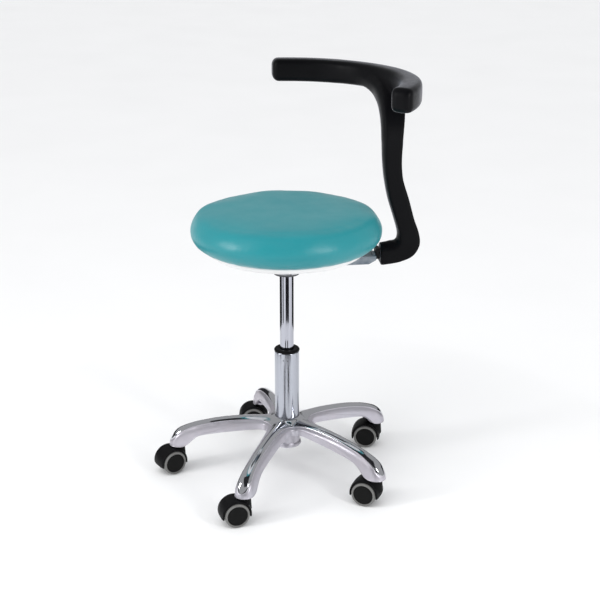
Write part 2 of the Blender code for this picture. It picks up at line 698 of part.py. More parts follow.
def make_bracket(frame):
    """The steel bar that turns about the seat's socket on a ring and carries the arm."""
    ring_radius = SOCKET_RADIUS + BRACKET_RING_WALL
    lug_end = SOCKET_RADIUS + BRACKET_LUG_LENGTH
    hollow_start = lug_end + BRACKET_WALL
    profile = [
        (ring_radius, BRACKET_BOTTOM - EMBED),
        (BRACKET_END - BRACKET_NOSE, BRACKET_BOTTOM),
        (BRACKET_END, BRACKET_BOTTOM + BRACKET_HEIGHT / 2),
        (BRACKET_END, BRACKET_TOP),
        (BRACKET_STEP, BRACKET_TOP),
        (BRACKET_STEP - BRACKET_STEP_RUN, BRACKET_LOW_TOP),
        (ring_radius, BRACKET_LOW_TOP),
    ]
    upright = Matrix.Rotation(math.pi / 2, 4, "X")
    mesh = prism_mesh("bracket", profile, BRACKET_HALF_WIDTH)
    mesh.transform(upright)
    bracket = add_object("arm_bracket", mesh, FINISH["blued_steel"], parent=frame)
    hollow = [
        (hollow_start, BRACKET_BOTTOM - CUT_OVER),
        (BRACKET_END - BRACKET_NOSE + BRACKET_WALL, BRACKET_BOTTOM - CUT_OVER),
        (BRACKET_END - BRACKET_WALL, BRACKET_BOTTOM + BRACKET_HEIGHT / 2),
        (BRACKET_END - BRACKET_WALL, BRACKET_TOP - BRACKET_WALL),
        (BRACKET_STEP, BRACKET_TOP - BRACKET_WALL),
        (BRACKET_STEP - BRACKET_STEP_RUN, BRACKET_LOW_TOP - BRACKET_WALL),
        (hollow_start, BRACKET_LOW_TOP - BRACKET_WALL),
    ]
    hollow_mesh = prism_mesh("bracket_hollow", hollow, BRACKET_HALF_WIDTH - BRACKET_WALL)
    hollow_mesh.transform(upright)
    eye = ring("bracket_ring", SOCKET_RADIUS + RUNNING, ring_radius, BRACKET_RING_BOTTOM, BRACKET_BOTTOM, FINE_STEPS,
               parent=frame)
    lug_half = BRACKET_HALF_WIDTH - BRACKET_LUG_INSET
    lug = box("bracket_lug", (SOCKET_RADIUS + BRACKET_WALL, -lug_half, BRACKET_RING_BOTTOM + EMBED),
              (lug_end, lug_half, BRACKET_BOTTOM), parent=frame)
    tongue_low = TONGUE_BOTTOM
    tongue = box("bracket_tongue", (BRACKET_END - 2 * BRACKET_WALL, -TONGUE_HALF_WIDTH, tongue_low),
                 (BRACKET_END + TONGUE_LENGTH, TONGUE_HALF_WIDTH, tongue_low + TONGUE_HEIGHT), parent=frame)
    join(bracket, eye, lug, tongue)
    cut(bracket, add_object("bracket_hollow", hollow_mesh, parent=frame), make_arm_bolt_holes(frame)[0])
    ring("arm_ring_clip", SOCKET_RADIUS + GAP, SOCKET_RADIUS + ARM_CLIP_WIDTH, ARM_CLIP_TOP - ARM_CLIP_HEIGHT,
         ARM_CLIP_TOP, ROUND_STEPS, FINISH["steel"])


def tongue_pocket(name, frame, start, end):
    """Cutter for what slides over the bracket's tongue."""
    return box(name, (start, -TONGUE_HALF_WIDTH - GAP, TONGUE_BOTTOM - GAP),
               (end, TONGUE_HALF_WIDTH + GAP, TONGUE_BOTTOM + TONGUE_HEIGHT + GAP), parent=frame)


def make_pivot_bush(frame):
    start = BRACKET_END + GAP
    low, high = TONGUE_BOTTOM - 0.003, TONGUE_BOTTOM + TONGUE_HEIGHT + 0.0105
    bush = box("pivot_bush", (start, -PIVOT_BUSH_HALF_WIDTH, low),
               (start + PIVOT_BUSH_LENGTH, PIVOT_BUSH_HALF_WIDTH, high), FINISH["black_plastic"], parent=frame)
    rounding = bush.modifiers.new("Bevel", "BEVEL")
    rounding.width = 0.0012
    rounding.segments = 1
    cut(bush, tongue_pocket("bush_pocket", frame, start - CUT_OVER, start + PIVOT_BUSH_LENGTH + CUT_OVER))


def make_arm_bolt_holes(frame):
    """The clearance hole through the tongue and the foot's floor, and the head's counterbore."""
    place = {"parent": frame, "location": (ARM_BOLT_AT, 0, 0)}
    shank = cylinder("arm_bolt_hole", ARM_BOLT_RADIUS + GAP, ARM_BOLT_HEAD_LOW,
                     TONGUE_BOTTOM + TONGUE_HEIGHT + CUT_OVER, SMALL_STEPS, **place)
    head_top = ARM_BOLT_HEAD_LOW + ARM_BOLT_HEAD_HEIGHT + GAP
    head = cylinder("arm_bolt_counterbore", ARM_BOLT_HEAD_RADIUS + GAP, ARM_BOLT_HEAD_LOW - 4 * CUT_OVER,
                    head_top, SMALL_STEPS, **place)
    return shank, head


def make_arm_bolt(frame):
    top = TONGUE_BOTTOM + TONGUE_HEIGHT - GAP
    step = ARM_BOLT_HEAD_LOW + ARM_BOLT_HEAD_HEIGHT
    turned("arm_bolt", [
        (0, top),
        (ARM_BOLT_RADIUS, top),
        (ARM_BOLT_RADIUS, step),
        (ARM_BOLT_HEAD_RADIUS, step),
        (ARM_BOLT_HEAD_RADIUS, ARM_BOLT_HEAD_LOW),
        (0, ARM_BOLT_HEAD_LOW),
    ], SMALL_STEPS, FINISH["steel"], closed=False, parent=frame, location=(ARM_BOLT_AT, 0, 0))


def stem_section(outer, inner, lateral, half, crown):
    """A section flat on its outer side, with a crowned inner side between two edges."""
    depth = (outer - inner).normalized()
    side = lateral.normalized() * half
    corner = STEM_CORNER
    points = []
    for i in range(7):
        angle = math.radians(-90 + 30 * i)
        points.append(inner - depth * crown * math.cos(angle) + side * math.sin(angle))
    trim = side.normalized() * corner
    points.append(outer + side - depth * corner)
    points.append(outer + side - trim * 0.3 - depth * corner * 0.3)
    points.append(outer + side - trim)
    points.append(outer - side + trim)
    points.append(outer - side + trim * 0.3 - depth * corner * 0.3)
    points.append(outer - side - depth * corner)
    return points


def support_stem_mesh(name):
    """Foot, bend, stem and the elbow that runs up into the bar."""
    foot, low = FOOT_START, TONGUE_BOTTOM - FOOT_BELOW_TONGUE
    bar, elbow = BAR_RADIUS, ELBOW_START_Z
    # outer side (distance, height), inner edge (distance, height), crown
    table = [
        (foot, low, foot, low + 0.0275, 0.0170),
        (foot + 0.0210, low + 0.0020, foot + 0.0170, low + 0.0290, 0.0170),
        (foot + 0.0420, low + 0.0060, foot + 0.0290, low + 0.0323, 0.0160),
        (foot + 0.0660, low + 0.0170, foot + 0.0370, low + 0.0390, 0.0135),
        (foot + 0.0790, low + 0.0395, foot + 0.0405, low + 0.0485, 0.0070),
        (foot + 0.0765, low + 0.0645, foot + 0.0380, low + 0.0645, 0.0035),
        (foot + 0.0660, low + 0.0941, foot + 0.0295, low + 0.0942, 0.0030),
        (bar + 0.0041, elbow - 0.1111, bar - 0.0335, elbow - 0.1110, 0.0030),
        (bar - 0.0085, elbow - 0.0712, bar - 0.0410, elbow - 0.0710, 0.0035),
        (bar - 0.0120, elbow - 0.0360, bar - 0.0440, elbow - 0.0360, 0.0050),
        (bar - 0.0110, elbow, bar - 0.0445, elbow, 0.0050),
    ]
    sections = []
    count = 2 * (len(table) - 1) + 1
    for i in range(count):
        r_out, z_out, r_in, z_in, crown = between(table, i / 2)
        outer = Vector((r_out, 0, z_out))
        inner = Vector((r_in, 0, z_in))
        sections.append(stem_section(outer, inner, Vector((0, 1, 0)), SUPPORT_HALF_WIDTH, crown))
    steps = 9
    last_out, last_in = table[-1][0], table[-1][2]
    bar_out, bar_in = BAR_RADIUS + BAR_DEPTH / 2, BAR_RADIUS - BAR_DEPTH / 2
    for i in range(1, steps + 1):
        share = i / steps
        turn = share * math.pi / 2
        angle = ELBOW_END_ANGLE * (1 - math.cos(turn))
        z = ELBOW_START_Z + (BAR_CENTRE_Z - ELBOW_START_Z) * math.sin(turn)
        out_way = Vector((math.cos(angle), math.sin(angle), 0))
        along = Vector((-math.sin(angle), math.cos(angle), 0))
        rise = Vector((0, 0, (BAR_CENTRE_Z - ELBOW_START_Z) * math.cos(turn)))
        path = along * (BAR_RADIUS * ELBOW_END_ANGLE * math.sin(turn)) + rise
        lateral = path.normalized().cross(out_way)
        blend = share * share * (3 - 2 * share)
        r_out = last_out + (bar_out - 0.004 - last_out) * blend
        r_in = last_in + (bar_in + 0.010 - last_in) * blend ** 1.5
        half = SUPPORT_HALF_WIDTH - 0.003 * blend
        height = Vector((0, 0, z))
        sections.append(stem_section(out_way * r_out + height, out_way * r_in + height, lateral, half,
                                     0.005 + 0.002 * blend))
    return loft_mesh(name, sections)


def bar_section(angle, scale):
    """A rounded rectangle across the bar, drawn smaller towards the bar's ends."""
    half_depth = BAR_DEPTH / 2 * scale
    half_height = BAR_HEIGHT / 2 * scale
    corner = BAR_CORNER * scale
    points = []
    centres = [(1, 1), (-1, 1), (-1, -1), (1, -1)]
    for i, (sx, sz) in enumerate(centres):
        centre = (sx * (half_depth - corner), sz * (half_height - corner))
        points += arc(centre, corner, i * math.pi / 2, (i + 1) * math.pi / 2, 4)
    return [
        Vector(((BAR_RADIUS + x) * math.cos(angle), (BAR_RADIUS + x) * math.sin(angle), BAR_CENTRE_Z + z))
        for x, z in points
    ]


def support_bar_mesh(name):
    """The bar that curves round the sitter, with a rounded end each way."""
    round_angle = BAR_CORNER / BAR_RADIUS
    steps = 18
    near, far = BAR_NEAR_ANGLE + round_angle, BAR_FAR_ANGLE - round_angle
    ends = [math.radians(a) for a in (10, 35, 60)]
    shrink = BAR_CORNER / (BAR_DEPTH / 2)
    angles = [(near - round_angle * math.cos(a), 1 - shrink * (1 - math.sin(a))) for a in ends]
    angles += [(near + (far - near) * i / steps, 1) for i in range(steps + 1)]
    angles += [(far + round_angle * math.cos(a), 1 - shrink * (1 - math.sin(a))) for a in reversed(ends)]
    return loft_mesh(name, [bar_section(angle, scale) for angle, scale in angles])


def make_body_support(frame):
    support = add_object("body_support", support_bar_mesh("support_bar"), FINISH["support_black"], parent=frame)
    join(support, add_object("support_stem", support_stem_mesh("support_stem"), parent=frame))
    pocket = tongue_pocket("foot_pocket", frame, FOOT_START - CUT_OVER, BRACKET_END + TONGUE_LENGTH + GAP)
    cut(support, pocket, *make_arm_bolt_holes(frame))


# ---------------------------------------------------------------- casters

def hood_outline():
    """The hood seen along the axle: an arch over the wheel and the web down to the axle."""
    skirt = HOOD_SKIRT_ANGLE
    points = arc((0, 0), HOOD_RADIUS, -skirt, math.pi + skirt, 14)
    boss = AXLE_RADIUS + AXLE_BOSS_WALL
    points += [(-boss, -boss * 0.9), (boss, -boss * 0.9)]
    return points


def hood_mesh():
    mesh = prism_mesh("hood", hood_outline(), HOOD_HALF_WIDTH)
    mesh.transform(Matrix.Rotation(math.pi / 2, 4, "X"))
    mesh.transform(Matrix.Translation((CASTER_TRAIL, 0, WHEEL_RADIUS)))
    return mesh


def make_caster(i, meshes):
    """One caster. Its frame is on the stem's axis; the wheels trail along the frame's X."""
    name = "caster_" + CASTER_NAMES[i]
    swivel = add_empty(name + "_swivel", location=leg_tip(i), turn=(0, 0, AXLE_AZIMUTHS[i] - math.pi / 2))
    axle_at = (CASTER_TRAIL, 0, WHEEL_RADIUS)
    hood = add_object(name + "_hood", meshes["hood"].copy(), FINISH["black_plastic"], parent=swivel)
    join(hood, cylinder(name + "_boss", HOOD_BOSS_RADIUS, STEM_BOTTOM - 0.002, TIP_BOSS_BOTTOM - RUNNING,
                        ROUND_STEPS, parent=swivel))
    wells = [
        cylinder(f"{name}_well_{side}", WHEEL_RADIUS + WHEEL_CLEARANCE, HOOD_WEB_HALF,
                 HOOD_HALF_WIDTH + CUT_OVER, WHEEL_STEPS, parent=swivel, location=axle_at,
                 turn=(-turn * math.pi / 2, 0, 0))
        for side, turn in (("a", 1), ("b", -1))
    ]
    axle_hole = cylinder(name + "_axle_hole", AXLE_RADIUS + GAP, -HOOD_HALF_WIDTH, HOOD_HALF_WIDTH,
                         SMALL_STEPS, parent=swivel, location=axle_at, turn=(math.pi / 2, 0, 0))
    stem_hole = cylinder(name + "_stem_hole", STEM_RADIUS + GAP, STEM_BOTTOM - GAP,
                         TIP_BOSS_BOTTOM + CUT_OVER, SMALL_STEPS, parent=swivel)
    cut(hood, *wells, axle_hole, stem_hole)
    add_object(name + "_stem", meshes["stem"].copy(), FINISH["steel"], parent=swivel)
    add_object(name + "_axle", meshes["axle"].copy(), FINISH["steel"], parent=swivel, location=axle_at,
               turn=(math.pi / 2, 0, 0))
    for side, turn in (("a", 1), ("b", -1)):
        place = {"parent": swivel, "location": axle_at, "turn": (-turn * math.pi / 2, 0, 0)}
        add_object(f"{name}_wheel_{side}", meshes["wheel"].copy(), FINISH["black_plastic"], **place)
        add_object(f"{name}_tread_{side}", meshes["tread"].copy(), FINISH["tread"], **place)


def caster_meshes():
    """The meshes that all casters share. A wheel's outer face is at +Z of its own frame."""
    facet = 1 / math.cos(math.pi / WHEEL_STEPS)
    core = WHEEL_RADIUS - TREAD_THICKNESS
    axle_end = WHEEL_OUTER_FACE - AXLE_SHORT
    bore = AXLE_RADIUS + GAP
    wheel = [
        (0, WHEEL_OUTER_FACE),
        (core, WHEEL_OUTER_FACE),
        (core, WHEEL_INNER_FACE),
        (bore, WHEEL_INNER_FACE),
        (bore, axle_end + GAP),
        (0, axle_end + GAP),
    ]
    inner = (core + GAP) * facet
    outer = WHEEL_RADIUS * facet
    high = WHEEL_OUTER_FACE - TREAD_INSET
    low = WHEEL_INNER_FACE + TREAD_INSET
    tread = [
        (inner, high),
        (outer - TREAD_EDGE, high),
        (outer, high - TREAD_EDGE),
        (outer, low),
        (inner, low),
    ]
    return {
        "hood": hood_mesh(),
        "stem": rod_mesh("stem", STEM_RADIUS, STEM_BOTTOM, STEM_TOP, SMALL_STEPS),
        "axle": rod_mesh("axle", AXLE_RADIUS, -axle_end, axle_end, SMALL_STEPS),
        "wheel": turned_mesh("wheel", wheel, WHEEL_STEPS, False),
        "tread": turned_mesh("tread", tread, WHEEL_STEPS, True),
    }


# ---------------------------------------------------------------- the whole stool

def make_finishes():
    values = {
        "aluminium": ((0.62, 0.62, 0.66), 0.18, 1.0),
        "chrome": ((0.60, 0.61, 0.66), 0.10, 1.0),
        "steel": ((0.45, 0.46, 0.48), 0.35, 1.0),
        "dark_steel": ((0.05, 0.05, 0.055), 0.50, 0.6),
        "blued_steel": ((0.20, 0.25, 0.30), 0.35, 0.9),
        "black_plastic": ((0.012, 0.012, 0.013), 0.45, 0.0),
        "support_black": ((0.014, 0.014, 0.015), 0.40, 0.0),
        "rubber": ((0.02, 0.02, 0.02), 0.80, 0.0),
        "tread": ((0.15, 0.15, 0.15), 0.60, 0.0),
        "leatherette": ((0.03, 0.30, 0.33), 0.45, 0.0),
        "white_plastic": ((0.85, 0.85, 0.85), 0.40, 0.0),
        "plywood": ((0.45, 0.30, 0.17), 0.70, 0.0),
    }
    return {name: material(name, *value) for name, value in values.items()}


def shade_round_pieces():
    for piece in PARTS.objects:
        if piece.type == "MESH":
            piece.data.shade_smooth()
            piece.data.set_sharp_from_angle(angle=math.radians(30))


clear_scene()
PARTS = new_collection("dentist_stool")
HELPERS = new_collection("cutters_and_joins")
FINISH = make_finishes()
STOOL = None
STOOL = add_empty("stool", location=(COLUMN_X, COLUMN_Y, 0))
SEAT_FRAME = add_empty("seat_frame", turn=(0, 0, LEVER_AZIMUTH))
ARM_FRAME = add_empty("arm_frame", turn=(0, 0, ARM_AZIMUTH))
make_base()
make_column()
make_gas_lift()
make_cushion()
make_seat_base(SEAT_FRAME)
make_lever(SEAT_FRAME)
make_bracket(ARM_FRAME)
make_pivot_bush(ARM_FRAME)
make_arm_bolt(ARM_FRAME)
make_body_support(ARM_FRAME)
CASTER_MESHES = caster_meshes()
for number in range(ARM_COUNT):
    make_caster(number, CASTER_MESHES)
shade_round_pieces()
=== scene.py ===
"""Looks of the dentist stool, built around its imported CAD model. Metres, +Z up, the CAD frame."""
import json
import math

import bmesh
import bpy
import numpy as np
from mathutils import Matrix, Vector
from mathutils.bvhtree import BVHTree


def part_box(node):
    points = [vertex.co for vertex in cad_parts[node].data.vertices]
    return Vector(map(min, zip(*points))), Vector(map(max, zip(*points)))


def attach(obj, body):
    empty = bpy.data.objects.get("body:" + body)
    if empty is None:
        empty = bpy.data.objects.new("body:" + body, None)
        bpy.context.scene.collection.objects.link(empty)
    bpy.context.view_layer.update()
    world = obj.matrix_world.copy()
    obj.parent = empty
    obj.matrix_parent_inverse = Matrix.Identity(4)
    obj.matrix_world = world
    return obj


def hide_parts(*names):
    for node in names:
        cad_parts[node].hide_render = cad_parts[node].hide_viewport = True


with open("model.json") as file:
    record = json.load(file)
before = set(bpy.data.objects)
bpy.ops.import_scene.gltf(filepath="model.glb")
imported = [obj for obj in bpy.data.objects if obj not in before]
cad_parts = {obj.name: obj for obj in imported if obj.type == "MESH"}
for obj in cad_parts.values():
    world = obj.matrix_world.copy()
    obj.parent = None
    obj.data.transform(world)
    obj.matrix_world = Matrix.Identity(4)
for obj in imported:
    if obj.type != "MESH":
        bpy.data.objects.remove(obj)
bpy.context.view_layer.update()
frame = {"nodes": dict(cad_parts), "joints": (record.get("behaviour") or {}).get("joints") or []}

CASTERS = ["right", "back", "left", "front_left", "front_right"]


def joint(name):
    return next(j for j in frame["joints"] if j["name"] == name)


def radius_of(node, x, y):
    """How far a node reaches from an upright axis, along X or Y."""
    low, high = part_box(node)
    return max(x - low.x, high.x - x, y - low.y, high.y - y)


def middle(node):
    low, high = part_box(node)
    return (low + high) / 2


AXIS_X, AXIS_Y = joint("seat_swivel")["pos_m"][:2]
AXIS = Vector((AXIS_X, AXIS_Y, 0))
TUBE_LOW, TUBE_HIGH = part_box("column_tube")
TUBE_RADIUS = radius_of("column_tube", AXIS_X, AXIS_Y)
TUBE_WALL = 0.002
TUBE_TAPER = 0.0025        # how much slimmer the tube's foot is
TIPS = [middle(f"caster_{name}_stem") for name in CASTERS]
FIRST_LEG = math.atan2(TIPS[0].y - AXIS_Y, TIPS[0].x - AXIS_X)
TIP_REACH = math.hypot(TIPS[0].x - AXIS_X, TIPS[0].y - AXIS_Y)
ARM_BOLT = middle("arm_bolt")
ARM_TURN = math.atan2(ARM_BOLT.y - AXIS_Y, ARM_BOLT.x - AXIS_X)


# ---------------------------------------------------------------- mesh makers

def new_object(name, mesh, finishes):
    made = bpy.data.objects.new(name, mesh)
    bpy.context.scene.collection.objects.link(made)
    for finish in finishes:
        mesh.materials.append(finish)
    return made


def skin(rows, closed_across=False, closed_along=False):
    """(points, quads) of a surface through rows of points, all rows the same length."""
    count = len(rows[0])
    points = [tuple(p) for row in rows for p in row]
    faces = []
    for i in range(len(rows) if closed_along else len(rows) - 1):
        next_row = (i + 1) % len(rows)
        for j in range(count if closed_across else count - 1):
            k = (j + 1) % count
            faces.append((i * count + j, i * count + k, next_row * count + k, next_row * count + j))
    return points, faces


def mesh_of(name, points, faces, weld=1e-6):
    mesh = bpy.data.meshes.new(name)
    mesh.from_pydata(points, [], faces)
    shape = bmesh.new()
    shape.from_mesh(mesh)
    bmesh.ops.remove_doubles(shape, verts=shape.verts, dist=weld)
    bmesh.ops.dissolve_degenerate(shape, edges=shape.edges, dist=weld)
    bmesh.ops.recalc_face_normals(shape, faces=shape.faces)
    shape.to_mesh(mesh)
    shape.free()
    return mesh


def shade(obj, angle=40):
    obj.data.shade_smooth()
    obj.data.set_sharp_from_angle(angle=math.radians(angle))
    return obj


def turned_mesh(name, profile, steps=72, wave=None):
    """A profile of (radius, height) turned about Z. wave(angle, radius, height) may change a radius."""
    rows = []
    for i in range(steps):
        a = 2 * math.pi * i / steps
        row = []
        for r, z in profile:
            reach = wave(a, r, z) if wave else r
            row.append((reach * math.cos(a), reach * math.sin(a), z))
        rows.append(row)
    points, faces = skin(rows, closed_along=True)
    return mesh_of(name, points, faces)


def rounded(corners, radius, steps=4):
    """A profile with its inner corners rounded: each corner is (r, z) or (r, z, own radius)."""
    made = [corners[0][:2]]
    for before, corner, after in zip(corners, corners[1:], corners[2:]):
        here = Vector(corner[:2])
        fillet = corner[2] if len(corner) > 2 else radius
        back, ahead = Vector(before[:2]) - here, Vector(after[:2]) - here
        fillet = min(fillet, back.length * 0.49, ahead.length * 0.49)
        start, end = here + back.normalized() * fillet, here + ahead.normalized() * fillet
        for i in range(steps + 1):
            t = i / steps
            made.append(tuple(start * (1 - t) ** 2 + here * 2 * t * (1 - t) + end * t * t))
    made.append(corners[-1][:2])
    return made


def turned(name, corners, finish, at, radius=0.001, steps=72, wave=None):
    made = new_object(name, turned_mesh(name, rounded(corners, radius), steps, wave), [finish])
    made.location = at
    return shade(made)


def apply_modifiers(obj):
    """The object's mesh as its modifiers leave it, with no modifier kept."""
    graph = bpy.context.evaluated_depsgraph_get()
    mesh = bpy.data.meshes.new_from_object(obj.evaluated_get(graph))
    old = obj.data
    obj.modifiers.clear()
    obj.data = mesh
    bpy.data.meshes.remove(old)
    return obj


def remesh(obj, size):
    """Rebuilds a solid on an even grid."""
    grid = obj.modifiers.new("Grid", "REMESH")
    grid.mode = "VOXEL"
    grid.voxel_size = size
    apply_modifiers(obj)


def relax(obj, rounds, factor=0.5, group=""):
    smooth = obj.modifiers.new("Relax", "SMOOTH")
    smooth.factor = factor
    smooth.iterations = rounds
    smooth.vertex_group = group


def unite(obj, others):
    """Fuses other solids into one, and removes them."""
    bpy.context.view_layer.update()
    for other in others:
        union = obj.modifiers.new(other.name, "BOOLEAN")
        union.operation = "UNION"
        union.object = other
        union.solver = "EXACT"
    apply_modifiers(obj)
    for other in others:
        bpy.data.objects.remove(other, do_unlink=True)


def curve_through(table, at):
    """Values of a table of rows (place, value, ...), smooth between rows, at a place."""
    places = [row[0] for row in table]
    at = min(max(at, places[0]), places[-1])
    i = min(max(np.searchsorted(places, at, side="right") - 1, 0), len(table) - 2)
    span = places[i + 1] - places[i]
    t = (at - places[i]) / span

    def slope(k, column):
        lower, upper = max(k - 1, 0), min(k + 1, len(table) - 1)
        return (table[upper][column] - table[lower][column]) / (places[upper] - places[lower])

    made = []
    for column in range(1, len(table[0])):
        a, b = table[i][column], table[i + 1][column]
        m, n = slope(i, column) * span, slope(i + 1, column) * span
        made.append(
            a * (2 * t ** 3 - 3 * t * t + 1) + m * (t ** 3 - 2 * t * t + t)
            + b * (3 * t * t - 2 * t ** 3) + n * (t ** 3 - t * t)
        )
    return made


# ---------------------------------------------------------------- materials

class Finish:
    """A node material on Object coordinates, with short calls for the nodes that all of them use."""

    def __init__(self, name, colour, roughness, metallic=0.0, **sockets):
        self.material = bpy.data.materials.new(name)
        self.material.use_nodes = True
        self.tree = self.material.node_tree
        self.shader = self.tree.nodes["Principled BSDF"]
        self.colour, self.roughness = colour, roughness
        self.shader.inputs["Base Color"].default_value = (*colour, 1)
        self.shader.inputs["Roughness"].default_value = roughness
        self.shader.inputs["Metallic"].default_value = metallic
        for socket, value in sockets.items():
            self.shader.inputs[socket.replace("_", " ")].default_value = value
        self.place = self.tree.nodes.new("ShaderNodeTexCoord").outputs["Object"]
        self.normal = None

    def node(self, kind, **inputs):
        made = self.tree.nodes.new("ShaderNode" + kind)
        for name, value in inputs.items():
            made.inputs[name.replace("_", " ")].default_value = value
        return made

    def link(self, source, target):
        self.tree.links.new(source, target)

    def stretched(self, scale):
        mapping = self.node("Mapping", Scale=scale)
        self.link(self.place, mapping.inputs["Vector"])
        return mapping.outputs["Vector"]

    def noise(self, scale, detail=3.0, stretch=(1, 1, 1), rough=0.55):
        made = self.node("TexNoise", Scale=scale, Detail=detail, Roughness=rough)
        self.link(self.stretched(stretch), made.inputs["Vector"])
        return made.outputs["Fac"]

    def cells(self, scale, feature="F1"):
        made = self.node("TexVoronoi", Scale=scale)
        made.feature = feature
        self.link(self.place, made.inputs["Vector"])
        return made.outputs["Distance"]

    def ramp(self, source, low, high, start=0.3, end=0.7):
        """A value from low to high as the source goes from start to end."""
        made = self.node("MapRange", From_Min=start, From_Max=end, To_Min=low, To_Max=high)
        self.link(source, made.inputs["Value"])
        return made.outputs["Result"]

    def blend(self, other, factor):
        """Mixes the colour so far towards another one by a factor."""
        mix = self.tree.nodes.new("ShaderNodeMix")
        mix.data_type = "RGBA"
        current = self.shader.inputs["Base Color"]
        if current.is_linked:
            self.link(current.links[0].from_socket, mix.inputs["A"])
        else:
            mix.inputs["A"].default_value = (*self.colour, 1)
        mix.inputs["B"].default_value = (*other, 1)
        self.link(factor, mix.inputs["Factor"])
        self.link(mix.outputs["Result"], current)

    def tint(self, source, other, amount=1.0):
        """Mixes the colour towards another one where the source is high."""
        self.blend(other, self.ramp(source, 0.0, amount))

    def vary_roughness(self, source, spread):
        low, high = max(self.roughness - spread, 0.02), min(self.roughness + spread, 1)
        self.link(self.ramp(source, low, high), self.shader.inputs["Roughness"])

    def bump(self, source, height, strength=1.0):
        made = self.node("Bump", Strength=strength, Distance=height)
        self.link(source, made.inputs["Height"])
        if self.normal:
            self.link(self.normal, made.inputs["Normal"])
        self.normal = made.outputs["Normal"]
        self.link(self.normal, self.shader.inputs["Normal"])

    def wear(self, other, amount, start=0.52, end=0.62):
        """Lighter or shinier where the surface is an outer edge, broken up by noise."""
        edge = self.ramp(self.tree.nodes.new("ShaderNodeNewGeometry").outputs["Pointiness"], 0, 1, start, end)
        patches = self.ramp(self.noise(60, 4), 0.2, 1.0)
        both = self.tree.nodes.new("ShaderNodeMath")
        both.operation = "MULTIPLY"
        self.link(edge, both.inputs[0])
        self.link(patches, both.inputs[1])
        self.blend(other, self.ramp(both.outputs[0], 0, amount, 0, 1))


def polished_metal(name, colour, roughness, ripple=0.00004):
    """Buffed metal: faint cloudy haze, hairline polishing marks and a slight ripple in reflections."""
    made = Finish(name, colour, roughness, 1.0)
    haze = made.noise(14, 4)
    made.vary_roughness(haze, roughness * 0.45)
    made.tint(made.noise(5, 3), tuple(c * 0.86 for c in colour), 0.6)
    made.bump(made.noise(45, 2), ripple)
    made.bump(made.noise(900, 2, (1, 1, 0.08)), 0.000004)
    return made.material


def cast_metal(name, colour):
    """The unbuffed sides of the casting: satin, with fine grain and slightly uneven tone."""
    made = Finish(name, colour, 0.40, 0.80)
    made.vary_roughness(made.noise(90, 4), 0.10)
    made.tint(made.noise(9, 3), (0.60, 0.55, 0.60), 0.55)
    made.bump(made.noise(700, 4), 0.00004)
    return made.material


def drawn_chrome(name, colour, roughness):
    """Chromed tube: fine marks along its length and slightly uneven gloss."""
    made = Finish(name, colour, roughness, 1.0)
    made.vary_roughness(made.noise(60, 4, (1, 1, 0.15)), roughness * 0.5)
    made.tint(made.noise(30, 2, (1, 1, 0.05)), tuple(c * 0.8 for c in colour), 0.5)
    made.bump(made.noise(1400, 2, (1, 1, 0.02)), 0.000004)
    return made.material


def moulded_plastic(name, colour, roughness, grain=0.00003, pale=(0.022, 0.022, 0.023)):
    """Moulded plastic: spark-eroded grain, faint dust and rubbed edges."""
    made = Finish(name, colour, roughness, IOR=1.48)
    made.shader.inputs["Specular IOR Level"].default_value = 0.10
    made.vary_roughness(made.noise(120, 4), 0.09)
    made.tint(made.noise(24, 5), tuple(min(c * 1.8, 1) for c in colour), 0.5)
    made.wear(pale, 0.5)
    made.bump(made.cells(1500), grain)
    made.bump(made.noise(20, 2), grain * 2)
    return made.material


def moulded_skin(name):
    """Self-skinned foam of the body support: matte black, fine leather-like grain, soft handling marks."""
    made = Finish(name, (0.0022, 0.0023, 0.0028), 0.42, IOR=1.5)
    made.shader.inputs["Specular IOR Level"].default_value = 0.09
    made.shader.inputs["Sheen Weight"].default_value = 0.60
    made.shader.inputs["Sheen Roughness"].default_value = 0.22
    made.shader.inputs["Sheen Tint"].default_value = (0.80, 0.82, 0.90, 1)
    made.vary_roughness(made.noise(26, 5), 0.10)
    made.tint(made.noise(7, 4), (0.0045, 0.0046, 0.0060), 0.8)
    made.wear((0.010, 0.010, 0.012), 0.35)
    made.bump(made.cells(900), 0.00006)
    made.bump(made.noise(2600, 3), 0.00003)
    return made.material


def leatherette(name):
    """Coated upholstery cloth: pebble grain, soft creasing and a faint sheen."""
    made = Finish(name, (0.008, 0.232, 0.268), 0.36, IOR=1.5)
    made.shader.inputs["Specular IOR Level"].default_value = 0.50
    made.shader.inputs["Sheen Weight"].default_value = 0.07
    made.shader.inputs["Sheen Roughness"].default_value = 0.55
    made.shader.inputs["Sheen Tint"].default_value = (0.75, 0.95, 0.97, 1)
    made.vary_roughness(made.noise(16, 5), 0.07)
    made.tint(made.noise(4.5, 3), (0.012, 0.262, 0.292), 0.8)
    made.tint(made.noise(420, 3), (0.007, 0.200, 0.232), 0.30)
    made.bump(made.cells(620), 0.00012, 0.7)
    made.bump(made.cells(1300), 0.00005, 0.6)
    made.bump(made.noise(13, 3), 0.0008, 0.6)
    return made.material


def tyre_rubber(name):
    """Grey thermoplastic tread: matte, dusty where it rolls."""
    made = Finish(name, (0.165, 0.165, 0.160), 0.50)
    made.vary_roughness(made.noise(90, 4), 0.12)
    made.tint(made.noise(70, 5), (0.13, 0.125, 0.12), 0.7)
    made.wear((0.36, 0.36, 0.35), 0.5)
    made.bump(made.noise(800, 4), 0.00005)
    return made.material


def black_rubber(name):
    made = Finish(name, (0.02, 0.02, 0.02), 0.78)
    made.vary_roughness(made.noise(90, 4), 0.1)
    made.tint(made.noise(40, 4), (0.035, 0.035, 0.033), 0.7)
    made.bump(made.noise(900, 4), 0.00004)
    return made.material


